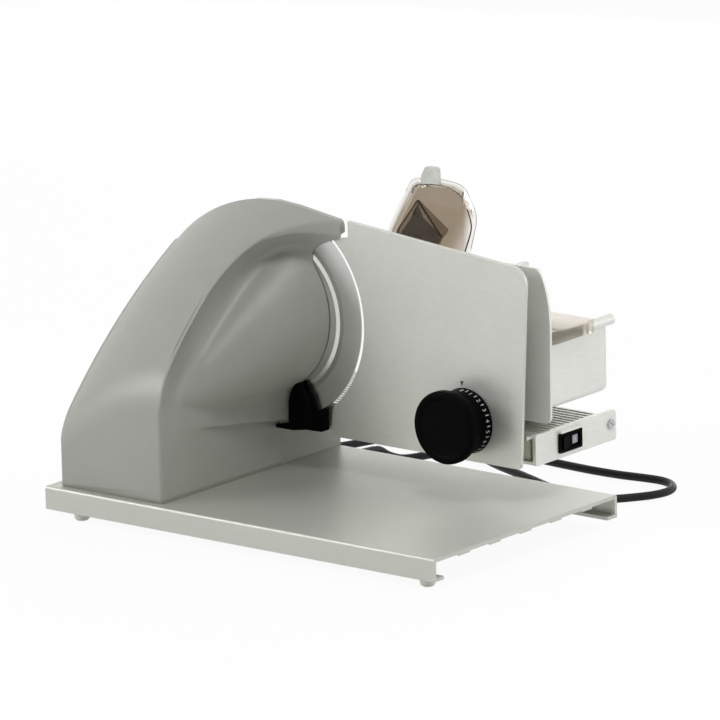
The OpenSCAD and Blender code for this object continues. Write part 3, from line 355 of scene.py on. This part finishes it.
def soften(node, width, segments=EDGE_STEPS):
    """Rounds a CAD node's sharp edges a little, so that they catch the light."""
    obj = frame["nodes"][node]
    weld = obj.modifiers.new("weld", "WELD")
    weld.merge_threshold = WELD_GAP
    bevel = obj.modifiers.new("bevel", "BEVEL")
    bevel.width = width * MM
    bevel.segments = segments
    bevel.limit_method = "ANGLE"
    bevel.angle_limit = math.radians(EDGE_ANGLE)
    bevel.use_clamp_overlap = True


for node, width in SOFT_EDGES.items():
    soften(node, width)
soften("knob", KNOB_EDGE, KNOB_STEPS)


# Mesh helper
def mesh_piece(name, points, faces, material, body, sharp=None):
    """A mesh on a body, flat or, with an angle, smooth up to edges sharper than that."""
    mesh = bpy.data.meshes.new(name)
    mesh.from_pydata([tuple(p) for p in points], [], faces)
    mesh.validate()
    for p in mesh.polygons:
        p.use_smooth = sharp is not None
    if sharp is not None:
        mesh.set_sharp_from_angle(angle=math.radians(sharp))
    obj = bpy.data.objects.new(name, mesh)
    bpy.context.collection.objects.link(obj)
    give(obj, material)
    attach(obj, body)
    return obj


# Mains lead
LEAD_D = 6.5
LEAD_R = LEAD_D / 2
LEAD_SIDES = 5
LEAD_STEPS = 4
BASE_W = 226
GLAND_X, GLAND_Z, GLAND_L = 122, 9, 26
FOOT_H = 6
LEAD_Z = LEAD_R - FOOT_H
TIE_T = 1
COIL_X, COIL_Y, COIL_R = 18, BASE_W + 44, 38
COIL_STEP = LEAD_D + 0.6
COIL_TURNS = 3.25
COIL_START = -15
COIL_LOW = LEAD_Z + TIE_T + 0.2
COIL_RINGS = 78
# Share of a turn over which the coil climbs to its second layer
COIL_CLIMB = 0.5
COIL_LEAD_IN = 7
HUMP = LEAD_D + 0.6
TAIL_L, TAIL_STEPS = 30, 10
PLUG_T = 13.6
PLUG_ANGLE = 165
# The lead's run on the floor, where it humps over itself, and its way to the coil
FLOOR_RUN = [
    (133, 288), (138, 302), (144, 315), (153, 327), (165, 336), (180, 341), (200, 341), (225, 338), (250, 336),
    (275, 335), (300, 336), (320, 339), (336, 340), (348, 336), (357, 327), (360, 315), (357, 302), (350, 290),
    (341, 278), (330, 269), (316, 265), (300, 267), (276, 276), (250, 287), (225, 297), (200, 307),
]
HUMP_RUN = [(184, 313, 0.2), (168, 318, 0.75), (150, 323, 1), (132, 328, 0.75), (116, 331, 0.2)]
END_RUN = [(100, 332), (87, 329), (77, 320), (72, 308), (67, 292)]


def ease(t):
    t = max(0, min(1, t))
    return t * t * (3 - 2 * t)


def coil_at(u):
    """The coil's centreline after u turns, in and out again over two layers."""
    a = math.radians(COIL_START - 360 * u)
    r = COIL_R - COIL_STEP * min(u, COIL_TURNS - u)
    lift = ease((u - COIL_TURNS / 2 + COIL_CLIMB / 2) / COIL_CLIMB)
    return Vector((COIL_X + r * math.cos(a), COIL_Y + r * math.sin(a), COIL_LOW + COIL_STEP * lift))


def coil_heading(u):
    a = math.radians(COIL_START - 360 * u)
    return Vector((math.sin(a), -math.cos(a), 0))


def lead_route():
    y0 = BASE_W + GLAND_L
    route = [(GLAND_X, y0, GLAND_Z), (GLAND_X + 0.2, y0 + 7, GLAND_Z - 1), (125, 267, 2.5), (129, 277, -1.6)]
    route += [(x, y, LEAD_Z) for x, y in FLOOR_RUN]
    route += [(x, y, LEAD_Z + h * HUMP) for x, y, h in HUMP_RUN]
    route += [(x, y, LEAD_Z) for x, y in END_RUN] + [(62, 276, LEAD_Z + 0.6)]
    into = coil_at(0)
    return [Vector(p) for p in route] + [into - COIL_LEAD_IN * coil_heading(0), into]


def smooth_points(p, k):
    """A smooth curve through the points p, with k steps to each stretch."""
    out = []
    for i in range(len(p) - 1):
        a = p[i - 1] if i else 2 * p[0] - p[1]
        b, c = p[i], p[i + 1]
        d = p[i + 2] if i + 2 < len(p) else 2 * p[-1] - p[-2]
        rise, turn, twist = c - a, 2 * a - 5 * b + 4 * c - d, 3 * b - a - 3 * c + d
        for t in (j / k for j in range(k)):
            out.append(0.5 * (2 * b + rise * t + turn * t ** 2 + twist * t ** 3))
    return out + [p[-1]]


def lead_points():
    """The lead's centreline from the gland through the coil to the plug, in the row frame."""
    lead = smooth_points(lead_route(), LEAD_STEPS)
    coil = [coil_at(i * COIL_TURNS / COIL_RINGS) for i in range(1, COIL_RINGS + 1)]
    end = coil[-1] + LEAD_D * coil_heading(COIL_TURNS)
    a = math.radians(PLUG_ANGLE)
    way = Vector((math.cos(a), math.sin(a), 0))
    down = Vector((0, 0, end.z - (PLUG_T / 2 - FOOT_H)))
    shares = [i / TAIL_STEPS for i in range(TAIL_STEPS + 1)]
    tail = [end + way * TAIL_L * t - down * ease((t - 0.2) / 0.6) for t in shares]
    return [bench(*p) for p in lead + coil + tail]


def tube(name, points, radius, sides):
    """A round tube of a radius in millimetres along row-frame points."""
    curve = bpy.data.curves.new(name, "CURVE")
    curve.dimensions = "3D"
    curve.bevel_depth = radius * MM
    curve.bevel_resolution = sides
    spline = curve.splines.new("POLY")
    spline.points.add(len(points) - 1)
    for point, place in zip(spline.points, points):
        point.co = (*place, 1)
    obj = bpy.data.objects.new(name, curve)
    bpy.context.collection.objects.link(obj)
    return obj


def add_lead():
    points = lead_points()
    lead = tube("lead", points, LEAD_R, LEAD_SIDES)
    lead.data.use_fill_caps = True
    lead.data.splines[0].use_smooth = True
    give(lead, "black_rubber")
    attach(lead, "stand")
    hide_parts("cord_lead", "cord_coil", "cord_tail")


add_lead()


# Drive housing
HOUSE_X, HOUSE_Y, WALL_X = 8.4, 8.2, 110.4
REAR_Y, BASE_TOP = 152.5, 18
CROWN_X, CROWN_C, CROWN_R = 110.6, 95, 135
ARM_SLOPE, ARM_X = math.radians(8.7), 174.5
SLOPE_R, FRONT_R, NOSE_ANGLE, SHROUD_Y = 500, 55, math.radians(28.7), 156
FLARE_Y, FLARE_R = 70, 84
DOME_X, DOME_Z, DOME_R = 98.4, 140.9, 61.8
TIP_Y, CONE_RISE = 50, 0.42
TIP_R, TIP_MIN = WALL_X - DOME_X, 2
# The dome's flanks are round up to this share of its radius and straight beyond it
FLANK_END, FLANK_WIDTH, FLANK_FALL = 0.95, 0.312, 3.04
GAP_Y, GAP_FRONT, GAP_REAR, GAP_STEP = 60, 68, 56, 1.2
SHELF_Y, SHELF_REACH, SHELF_POWER = TIP_Y + 5, 12, 1.2
SHELF_TOP, SHELF_FADE = 85, 30
SCOOP_D, SCOOP_START, SCOOP_RISE = 9, 30, 40
SCOOP_END_Y, SCOOP_END_RUN, SCOOP_LOSS = 60, 90, 0.6
# How the crease runs out into the side: first softly and then to an end, which both change towards the rear
CREASE_SOFT, CREASE_SOFTER = 6, 14
CREASE_END, CREASE_SHORTER = 60, 45
MERGE_W, MERGE_Y, MERGE_RUN = 14, 30, 30
LIP_Y, LIP_H, LIP_POWER = 112, 12, 1.5
EDGE_R, EDGE_Y, EDGE_RUN = 3, 50, 50
EDGE_PAST, EDGE_FADE = 8, 30
FRONT_EDGE = 3.5
SHELL_T = 3.0
SHELL_SHARP = 38
ARM_RUN = CROWN_R * math.sin(ARM_SLOPE)
NOSE_Y = SHROUD_Y + SLOPE_R * math.sin(NOSE_ANGLE)
BLEND_Y = HOUSE_Y + FRONT_R
BLEND_Z = math.sqrt((SLOPE_R - FRONT_R) ** 2 - (NOSE_Y - BLEND_Y) ** 2)
BLEND_END = NOSE_Y - (NOSE_Y - BLEND_Y) * SLOPE_R / (SLOPE_R - FRONT_R)
# Points on each stretch of a ring, and the number of gaps between rings
LEFT_POINTS, LEFT_BEND, BAND_POINTS, CREASE_BEND = 10, 5, 44, 6
SIDE_POINTS, SIDE_SPACING, FOOT_POINTS = 70, 1.15, 12
RING_GAPS = 90


def unit(v):
    return max(0.0, min(1.0, v))


def arch(x):
    """Height of the crown and of the arm that falls away from it, seen from the front."""
    if x < CROWN_X + ARM_RUN:
        return CROWN_C + math.sqrt(CROWN_R ** 2 - (x - CROWN_X) ** 2)
    return CROWN_C + CROWN_R * math.cos(ARM_SLOPE) - math.tan(ARM_SLOPE) * (x - CROWN_X - ARM_RUN)


def drop(y):
    """How far the sloping face lies under the crown, seen from the side."""
    if y < BLEND_END:
        height = BLEND_Z + math.sqrt(max(0, FRONT_R ** 2 - (BLEND_Y - y) ** 2))
    else:
        height = math.sqrt(SLOPE_R ** 2 - (NOSE_Y - y) ** 2)
    return SLOPE_R * math.cos(NOSE_ANGLE) - height


def band(x, y):
    return arch(x) - drop(y)


def crease(y):
    flare = FLARE_R - math.sqrt(FLARE_R ** 2 - min(y - FLARE_Y, FLARE_R) ** 2) if y > FLARE_Y else 0
    return min(ARM_X, WALL_X + flare)


def gap_line(y):
    """Height of the side's low end, under which the wall is upright."""
    return GAP_FRONT - (GAP_FRONT - GAP_REAR) * unit((y - GAP_Y) / (REAR_Y - GAP_Y))


def cone(y):
    c = (y - TIP_Y) / (REAR_Y - TIP_Y)
    return c * (1.2 - 0.2 * c)


def flank(s):
    return math.sqrt(1 - s * s) if s < FLANK_END else FLANK_WIDTH - FLANK_FALL * (s - FLANK_END)


def dome(y, z):
    """The dome beside the blade: a leaning cone with round flanks, as a reach from the wall."""
    r = max(TIP_MIN, TIP_R + (DOME_R - TIP_R) * cone(y))
    return DOME_X + r * flank(abs(z - DOME_Z + CONE_RISE * (REAR_Y - y)) / r) - WALL_X


def hollow_at(y, z):
    """The low shelf under the dome and the scoop under the crease, as a reach from the wall."""
    shelf = SHELF_REACH * unit((y - SHELF_Y) / (REAR_Y - SHELF_Y)) ** SHELF_POWER
    scoop = SCOOP_D * unit((y - HOUSE_Y) / SCOOP_START)
    scoop *= 1 - SCOOP_LOSS * unit((y - SCOOP_END_Y) / SCOOP_END_RUN)
    return shelf * (1 - ease((z - SHELF_TOP) / SHELF_FADE)) - scoop * ease((z - gap_line(y)) / SCOOP_RISE)


def soft_max(a, b, k):
    return (a + b + math.sqrt((a - b) ** 2 + k * k)) / 2


def ridge(y):
    return band(crease(y), y)


def side(y, z, top, lip):
    """The side under the crease, which runs from the crease through the scoop to the dome."""
    climb = (ridge(y + 1) - ridge(y - 1)) / 2
    t = unit((y - FLARE_Y) / (REAR_Y - FLARE_Y))
    u = max(0, max(0, top - z) / math.sqrt(1 + climb * climb) - lip)
    w = math.exp(-u / (CREASE_SOFT + CREASE_SOFTER * t) - (u / (CREASE_END - CREASE_SHORTER * t)) ** 2)
    out = soft_max(dome(y, z), hollow_at(y, z), MERGE_W * unit((y - MERGE_Y) / MERGE_RUN))
    return WALL_X + w * (crease(y) - WALL_X) + (1 - w) * out


def lip_at(y):
    return LIP_H * unit((y - LIP_Y) / (REAR_Y - LIP_Y)) ** LIP_POWER


def spread(a, b, n):
    return [a + (b - a) * i / (n - 1) for i in range(n)]


def bend(a, b, c, n):
    """Inner points of a rounded corner from a to c about b."""
    steps = [(i + 1) / (n + 1) for i in range(n)]
    return [tuple((1 - t) ** 2 * p + 2 * t * (1 - t) * q + t * t * r for p, q, r in zip(a, b, c))
            for t in steps]


def housing_ring(y):
    """One open ring of the housing's outer face at y, from left foot over the crown to right foot."""
    near = max(0, FRONT_EDGE - (y - HOUSE_Y))
    turn = FRONT_EDGE - math.sqrt(FRONT_EDGE ** 2 - near ** 2)
    x0, x1, wall = HOUSE_X + turn, crease(y) - turn, WALL_X - turn
    top, lip, g, e = ridge(y), lip_at(y), gap_line(y), EDGE_R
    er = EDGE_R + unit((y - EDGE_Y) / EDGE_RUN) * unit((REAR_Y + EDGE_PAST - y) / EDGE_FADE)
    zl, zc = band(x0 + e, y), band(x1, y)
    left_top, right_top = (x0 + e, zl), (x1 - er, band(x1 - er, y))
    low = zc - er

    def at_side(z):
        return side(y, z, top, lip) - turn, z

    shares = [i / (SIDE_POINTS - 1) for i in range(SIDE_POINTS)]
    ring = [(x0, z) for z in spread(BASE_TOP, zl - e, LEFT_POINTS)]
    ring += bend((x0, zl - e), (x0, zl), left_top, LEFT_BEND)
    ring += [(x, band(x, y)) for x in spread(x0 + e, x1 - er, BAND_POINTS)]
    ring += bend(right_top, (x1, zc), at_side(low), CREASE_BEND)
    ring += [at_side(low - (low - g) * s ** SIDE_SPACING) for s in shares]
    ring += [(wall, z) for z in spread(g - GAP_STEP, BASE_TOP, FOOT_POINTS)]
    return [bench(x, y, z) for x, z in ring]


def add_housing():
    """The housing's outer face as a shell, with rings closer together at the front and the rear."""
    shares = [0.5 - 0.5 * math.cos(math.pi * i / RING_GAPS) for i in range(RING_GAPS + 1)]
    rings = [housing_ring(HOUSE_Y + (REAR_Y - HOUSE_Y) * s) for s in shares]
    m = len(rings[0])
    points = [p for ring in rings for p in ring]
    faces = [(i * m + j, i * m + j + 1, (i + 1) * m + j + 1, (i + 1) * m + j)
             for i in range(len(rings) - 1) for j in range(m - 1)]
    faces.append(tuple(range(m - 1, -1, -1)))
    shell = mesh_piece("housing_shell", points, faces, "grey_paint", "stand", SHELL_SHARP)
    thick = shell.modifiers.new("wall", "SOLIDIFY")
    thick.thickness = SHELL_T * MM
    thick.offset = -1
    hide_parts("motor_housing")


add_housing()


# Dial marks and pointer
KNOB_X, KNOB_Z = 292, 79
SKIRT_Y0, SKIRT_L, SKIRT_R0, SKIRT_R1 = 141.5, 11, 24.0, 25.2
DIAL_STEPS, DIAL_PITCH = 16, 20
DIGIT_SIZE, DIGIT_Y, DIGIT_STEPS = 5.2, 147.4, 3
# A tick's corners, as degrees from its middle and places along y
TICK = [(-0.9, 148.2), (0.9, 148.2), (0.9, 151.6), (-0.9, 151.6)]
PRINT_LIFT = 0.06
POINTER_Y = 154 - PRINT_LIFT
POINTER = [(286.8, 109.3), (290.2, 109.8), (288.5, 105.2)]


def dial_point(angle, y):
    """A place on the dial ring's skirt, at an angle clockwise from its top."""
    r = SKIRT_R0 + (SKIRT_R1 - SKIRT_R0) * (y - SKIRT_Y0) / SKIRT_L + PRINT_LIFT
    a = math.radians(angle)
    return bench(KNOB_X + r * math.sin(a), y, KNOB_Z + r * math.cos(a))


def glyph(text):
    """Outline mesh of a number in the built-in typeface: points across and up, and faces."""
    curve = bpy.data.curves.new("glyph", "FONT")
    curve.body = text
    curve.size = DIGIT_SIZE
    curve.align_x = "CENTER"
    curve.resolution_u = DIGIT_STEPS
    obj = bpy.data.objects.new("glyph", curve)
    bpy.context.collection.objects.link(obj)
    mesh = bpy.data.meshes.new_from_object(obj.evaluated_get(bpy.context.evaluated_depsgraph_get()))
    points = [(v.co.x, v.co.y) for v in mesh.vertices]
    faces = [tuple(p.vertices) for p in mesh.polygons]
    bpy.data.objects.remove(obj)
    bpy.data.curves.remove(curve)
    bpy.data.meshes.remove(mesh)
    return points, faces


def add_dial_marks():
    """White numbers round the skirt, their tops towards the plate, with a tick between each two."""
    points, faces = [], []
    turn = math.degrees(1 / SKIRT_R1)
    for n in range(DIAL_STEPS):
        angle = n * DIAL_PITCH
        flat, own = glyph(str(n))
        faces += [tuple(len(points) + i for i in f) for f in own]
        points += [dial_point(angle + u * turn, DIGIT_Y + v) for u, v in flat]
        if n < DIAL_STEPS - 1:
            k = len(points)
            points += [dial_point(angle + DIAL_PITCH / 2 + d, y) for d, y in TICK]
            faces.append((k, k + 1, k + 2, k + 3))
    marks = mesh_piece("dial_marks", points, faces, "white_print", "dial")


def add_pointer():
    """Dark pointer on the stop plate over the dial."""
    corners = [bench(x, POINTER_Y, z) for x, z in POINTER]
    pointer = mesh_piece("pointer", corners, [(0, 2, 1)], "dark_print", "stop")


# Switch window
SWITCH_X, SWITCH_Y, SWITCH_Z = 346, 212.2, 58.8
ROCKER_TILT = math.radians(8)
# The rocker's far half leans out by this much over its length
FACE_X, FACE_LEAN, FACE_L = 0.9, 0.7, 11
PAD_INSET = 0.25
# Low and high ends along y and z, and the height, of the window and of the bar on it
WINDOW_PAD = (2.4, 9.6, -3.3, 3.3, 0.3)
BAR_PAD = (5.6, 6.4, -1.8, 1.8, 0.45)


def on_rocker(x, y, z):
    """A place in the rocker's own upright axes, as a row-frame point."""
    c, s = math.cos(ROCKER_TILT), math.sin(ROCKER_TILT)
    return bench(SWITCH_X + x * c - y * s, SWITCH_Y + x * s + y * c, SWITCH_Z + z)


def add_pad(name, material, y0, y1, z0, z1, lift):
    """A low block with sloping sides on the rocker's far half."""
    points = []
    for rise, inset in ((0.0, 0.0), (lift, PAD_INSET)):
        (ya, yb), (za, zb) = (y0 + inset, y1 - inset), (z0 + inset, z1 - inset)
        for y, z in ((ya, za), (yb, za), (yb, zb), (ya, zb)):
            points.append(on_rocker(FACE_X + FACE_LEAN * y / FACE_L + rise, y, z))
    faces = [(4, 5, 6, 7)] + [(i, (i + 1) % 4, 4 + (i + 1) % 4, 4 + i) for i in range(4)]
    pad = mesh_piece(name, points, faces, material, "rocker")


def add_switch_window():
    """Pale window in the rocker's far half, with a raised bar for ON."""
    add_pad("rocker_window", "switch_window", *WINDOW_PAD)
    add_pad("rocker_bar", "white_print", *BAR_PAD)


# Ribs and edges of the hood, as x and z at planes across y
HOOD_Y0, HOOD_SHEET, HOOD_RIM_Y, HOOD_EDGE_Y = 200, 2.2, 214.6, 211
HOOD_BACK = HOOD_Y0 + HOOD_SHEET
HOOD_FACE = [(207, 237), (211, 243.3), (224.5, 245.8), (239, 246.2), (250.5, 243), (256, 239), (256.8, 236)]
HOOD_RIM = [
    (190, 233), (194, 240.8), (201.5, 245), (223, 247), (238, 246), (247, 243), (253, 233.7), (257, 226),
    (258, 219), (256.6, 212), (252, 196),
]
HOOD_EDGE = [
    (246.6, 237.6), (248.2, 235.4), (250.3, 232.2), (252.6, 226.5), (255.5, 216.8), (254.7, 209.2),
    (250, 196.6), (246, 186),
]
WEB_STRUT = [(209.6, 231), (238, 211.3), (236, 207.5), (232.5, 204)]
WEB_CORE = [
    (207.8, 227.4), (212.4, 217), (226.8, 207.5), (229, 201), (206, 160), (186, 160), (186, 186), (192, 203.4),
    (201.5, 215.6),
]
STRUT_Y0, STRUT_Y1 = HOOD_BACK + 0.1, HOOD_BACK + 3
CORE_Y0, CORE_Y1 = HOOD_BACK + 3.1, HOOD_BACK + 4.1
FACE_LIFT = 0.05
FACE_RIM_R, EDGE_RIM_R, CLEAR_RIM_R = 0.3, 0.55, 0.25
RIM_STEPS, RIM_SIDES = 4, 2


def add_panel(name, outline, y0, y1, material):
    """A flat panel in the hood, from an outline of x and z and two planes across y."""
    n = len(outline)
    points = [bench(x, y, z) for y in (y0, y1) for x, z in outline]
    faces = [tuple(range(n - 1, -1, -1)), tuple(range(n, 2 * n))]
    faces += [(i, (i + 1) % n, n + (i + 1) % n, n + i) for i in range(n)]
    panel = mesh_piece(name, points, faces, material, "holder")


def add_rim(name, outline, y, radius, material):
    """A thin tube on the remnant holder, along an outline of x and z at one plane across y."""
    path = smooth_points([Vector((x, y, z)) for x, z in outline], RIM_STEPS)
    rim = tube(name, [bench(*p) for p in path], radius, RIM_SIDES)
    give(rim, material)
    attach(rim, "holder")


def add_hood_details():
    """Ribs inside the hood and its moulded edges, which show dark where one looks along the sheet."""
    add_panel("web_strut", WEB_STRUT, STRUT_Y0, STRUT_Y1, "dark_smoke")
    add_panel("web_core", WEB_CORE, CORE_Y0, CORE_Y1, "core_smoke")
    add_rim("hood_face_edge", HOOD_FACE, HOOD_Y0 - FACE_LIFT, FACE_RIM_R, "rim_smoke")
    add_rim("hood_wall_edge", HOOD_EDGE, HOOD_EDGE_Y, EDGE_RIM_R, "rim_smoke")
    add_rim("hood_rim_edge", HOOD_RIM, HOOD_RIM_Y, CLEAR_RIM_R, "rim_clear")


add_dial_marks()
add_pointer()
add_switch_window()
add_hood_details()

# Floor, light and background
FLOOR_R, FLOOR_Z = 6, -0.0002
FLOOR_WHITE = 0.93
BRIGHT_SIDE = (0.2, 0.97, 0.12)
WORLD_RANGE = {"From Min": 0.1, "From Max": 0.9, "To Min": 0.05, "To Max": 2.0}
# Each lamp's place, target, width, height and power, in metres and watts
LIGHTS = {
    "key": ((-1.6, -1.75, 1.15), (0, 0, 0.1), 1.2, 1.0, 29),
    "top": ((0.62, -0.62, 2.0), (0, 0, 0.1), 0.5, 0.5, 12),
    "rear": ((1.1, 1.6, 0.45), (0.05, 0, 0.05), 1.6, 0.6, 4),
    "low": ((-0.6, 1.65, 0.27), (0.0, 0.05, 0.02), 1.7, 0.25, 5.5),
}


def floor_material():
    """White floor: mostly plain white to the camera, with a soft part that takes shadows."""
    s = Shader("studio floor")
    speck = s.noise(s.coords(), 3, 2)
    s.set(Base_Color=s.mix(speck, (0.86, 0.86, 0.86), (0.9, 0.9, 0.9)), Roughness=0.8)
    glow = s.node("ShaderNodeEmission", Strength=1.0)
    path = s.node("ShaderNodeLightPath")
    blend = s.node("ShaderNodeMixShader")
    mirrored = s.math("MAXIMUM", path.outputs["Is Glossy Ray"], path.outputs["Is Transmission Ray"])
    seen = s.math("MAXIMUM", path.outputs["Is Camera Ray"], mirrored)
    s.link(s.math("MULTIPLY", seen, FLOOR_WHITE), blend.inputs[0])
    s.link(s.bsdf.outputs["BSDF"], blend.inputs[1])
    s.link(glow.outputs["Emission"], blend.inputs[2])
    s.link(blend.outputs["Shader"], s.out.inputs["Surface"])
    return s.mat


def add_floor():
    mesh = bpy.data.meshes.new("floor")
    r, z = FLOOR_R, FLOOR_Z
    mesh.from_pydata([(-r, -r, z), (r, -r, z), (r, r, z), (-r, r, z)], [], [(0, 1, 2, 3)])
    obj = bpy.data.objects.new("floor", mesh)
    bpy.context.collection.objects.link(obj)
    mesh.materials.append(floor_material())


def add_light(name, place, target, width, height, power):
    data = bpy.data.lights.new(name, "AREA")
    data.shape = "RECTANGLE"
    data.size, data.size_y = width, height
    data.energy = power
    obj = bpy.data.objects.new(name, data)
    bpy.context.collection.objects.link(obj)
    aim = Vector(target) - Vector(place)
    obj.matrix_world = Matrix.Translation(place) @ aim.to_track_quat("-Z", "Y").to_matrix().to_4x4()


def add_world():
    """White to the eye and in mirrors; as light, bright at the rear right and dim in front."""
    world = bpy.data.worlds.new("studio")
    bpy.context.scene.world = world
    world.use_nodes = True
    tree = world.node_tree
    back = tree.nodes["Background"]
    back.inputs["Color"].default_value = (1, 1, 1, 1)
    way = tree.nodes.new("ShaderNodeTexCoord")
    along = tree.nodes.new("ShaderNodeVectorMath")
    along.operation = "DOT_PRODUCT"
    along.inputs[1].default_value = Vector(BRIGHT_SIDE).normalized()
    level = tree.nodes.new("ShaderNodeMapRange")
    for key, value in WORLD_RANGE.items():
        level.inputs[key].default_value = value
    path = tree.nodes.new("ShaderNodeLightPath")
    tree.links.new(way.outputs["Generated"], along.inputs[0])
    tree.links.new(along.outputs["Value"], level.inputs["Value"])
    seen = path.outputs["Is Camera Ray"]
    for ray in ("Is Glossy Ray", "Is Transmission Ray"):
        either = tree.nodes.new("ShaderNodeMath")
        either.operation = "MAXIMUM"
        tree.links.new(seen, either.inputs[0])
        tree.links.new(path.outputs[ray], either.inputs[1])
        seen = either.outputs["Value"]
    strength = tree.nodes.new("ShaderNodeMix")
    tree.links.new(seen, strength.inputs[0])
    tree.links.new(level.outputs["Result"], strength.inputs[2])
    strength.inputs[3].default_value = 1
    tree.links.new(strength.outputs[0], back.inputs["Strength"])


add_floor()
add_world()
for name, setup in LIGHTS.items():
    add_light(name, *setup)
bpy.context.scene.view_settings.view_transform = "Standard"
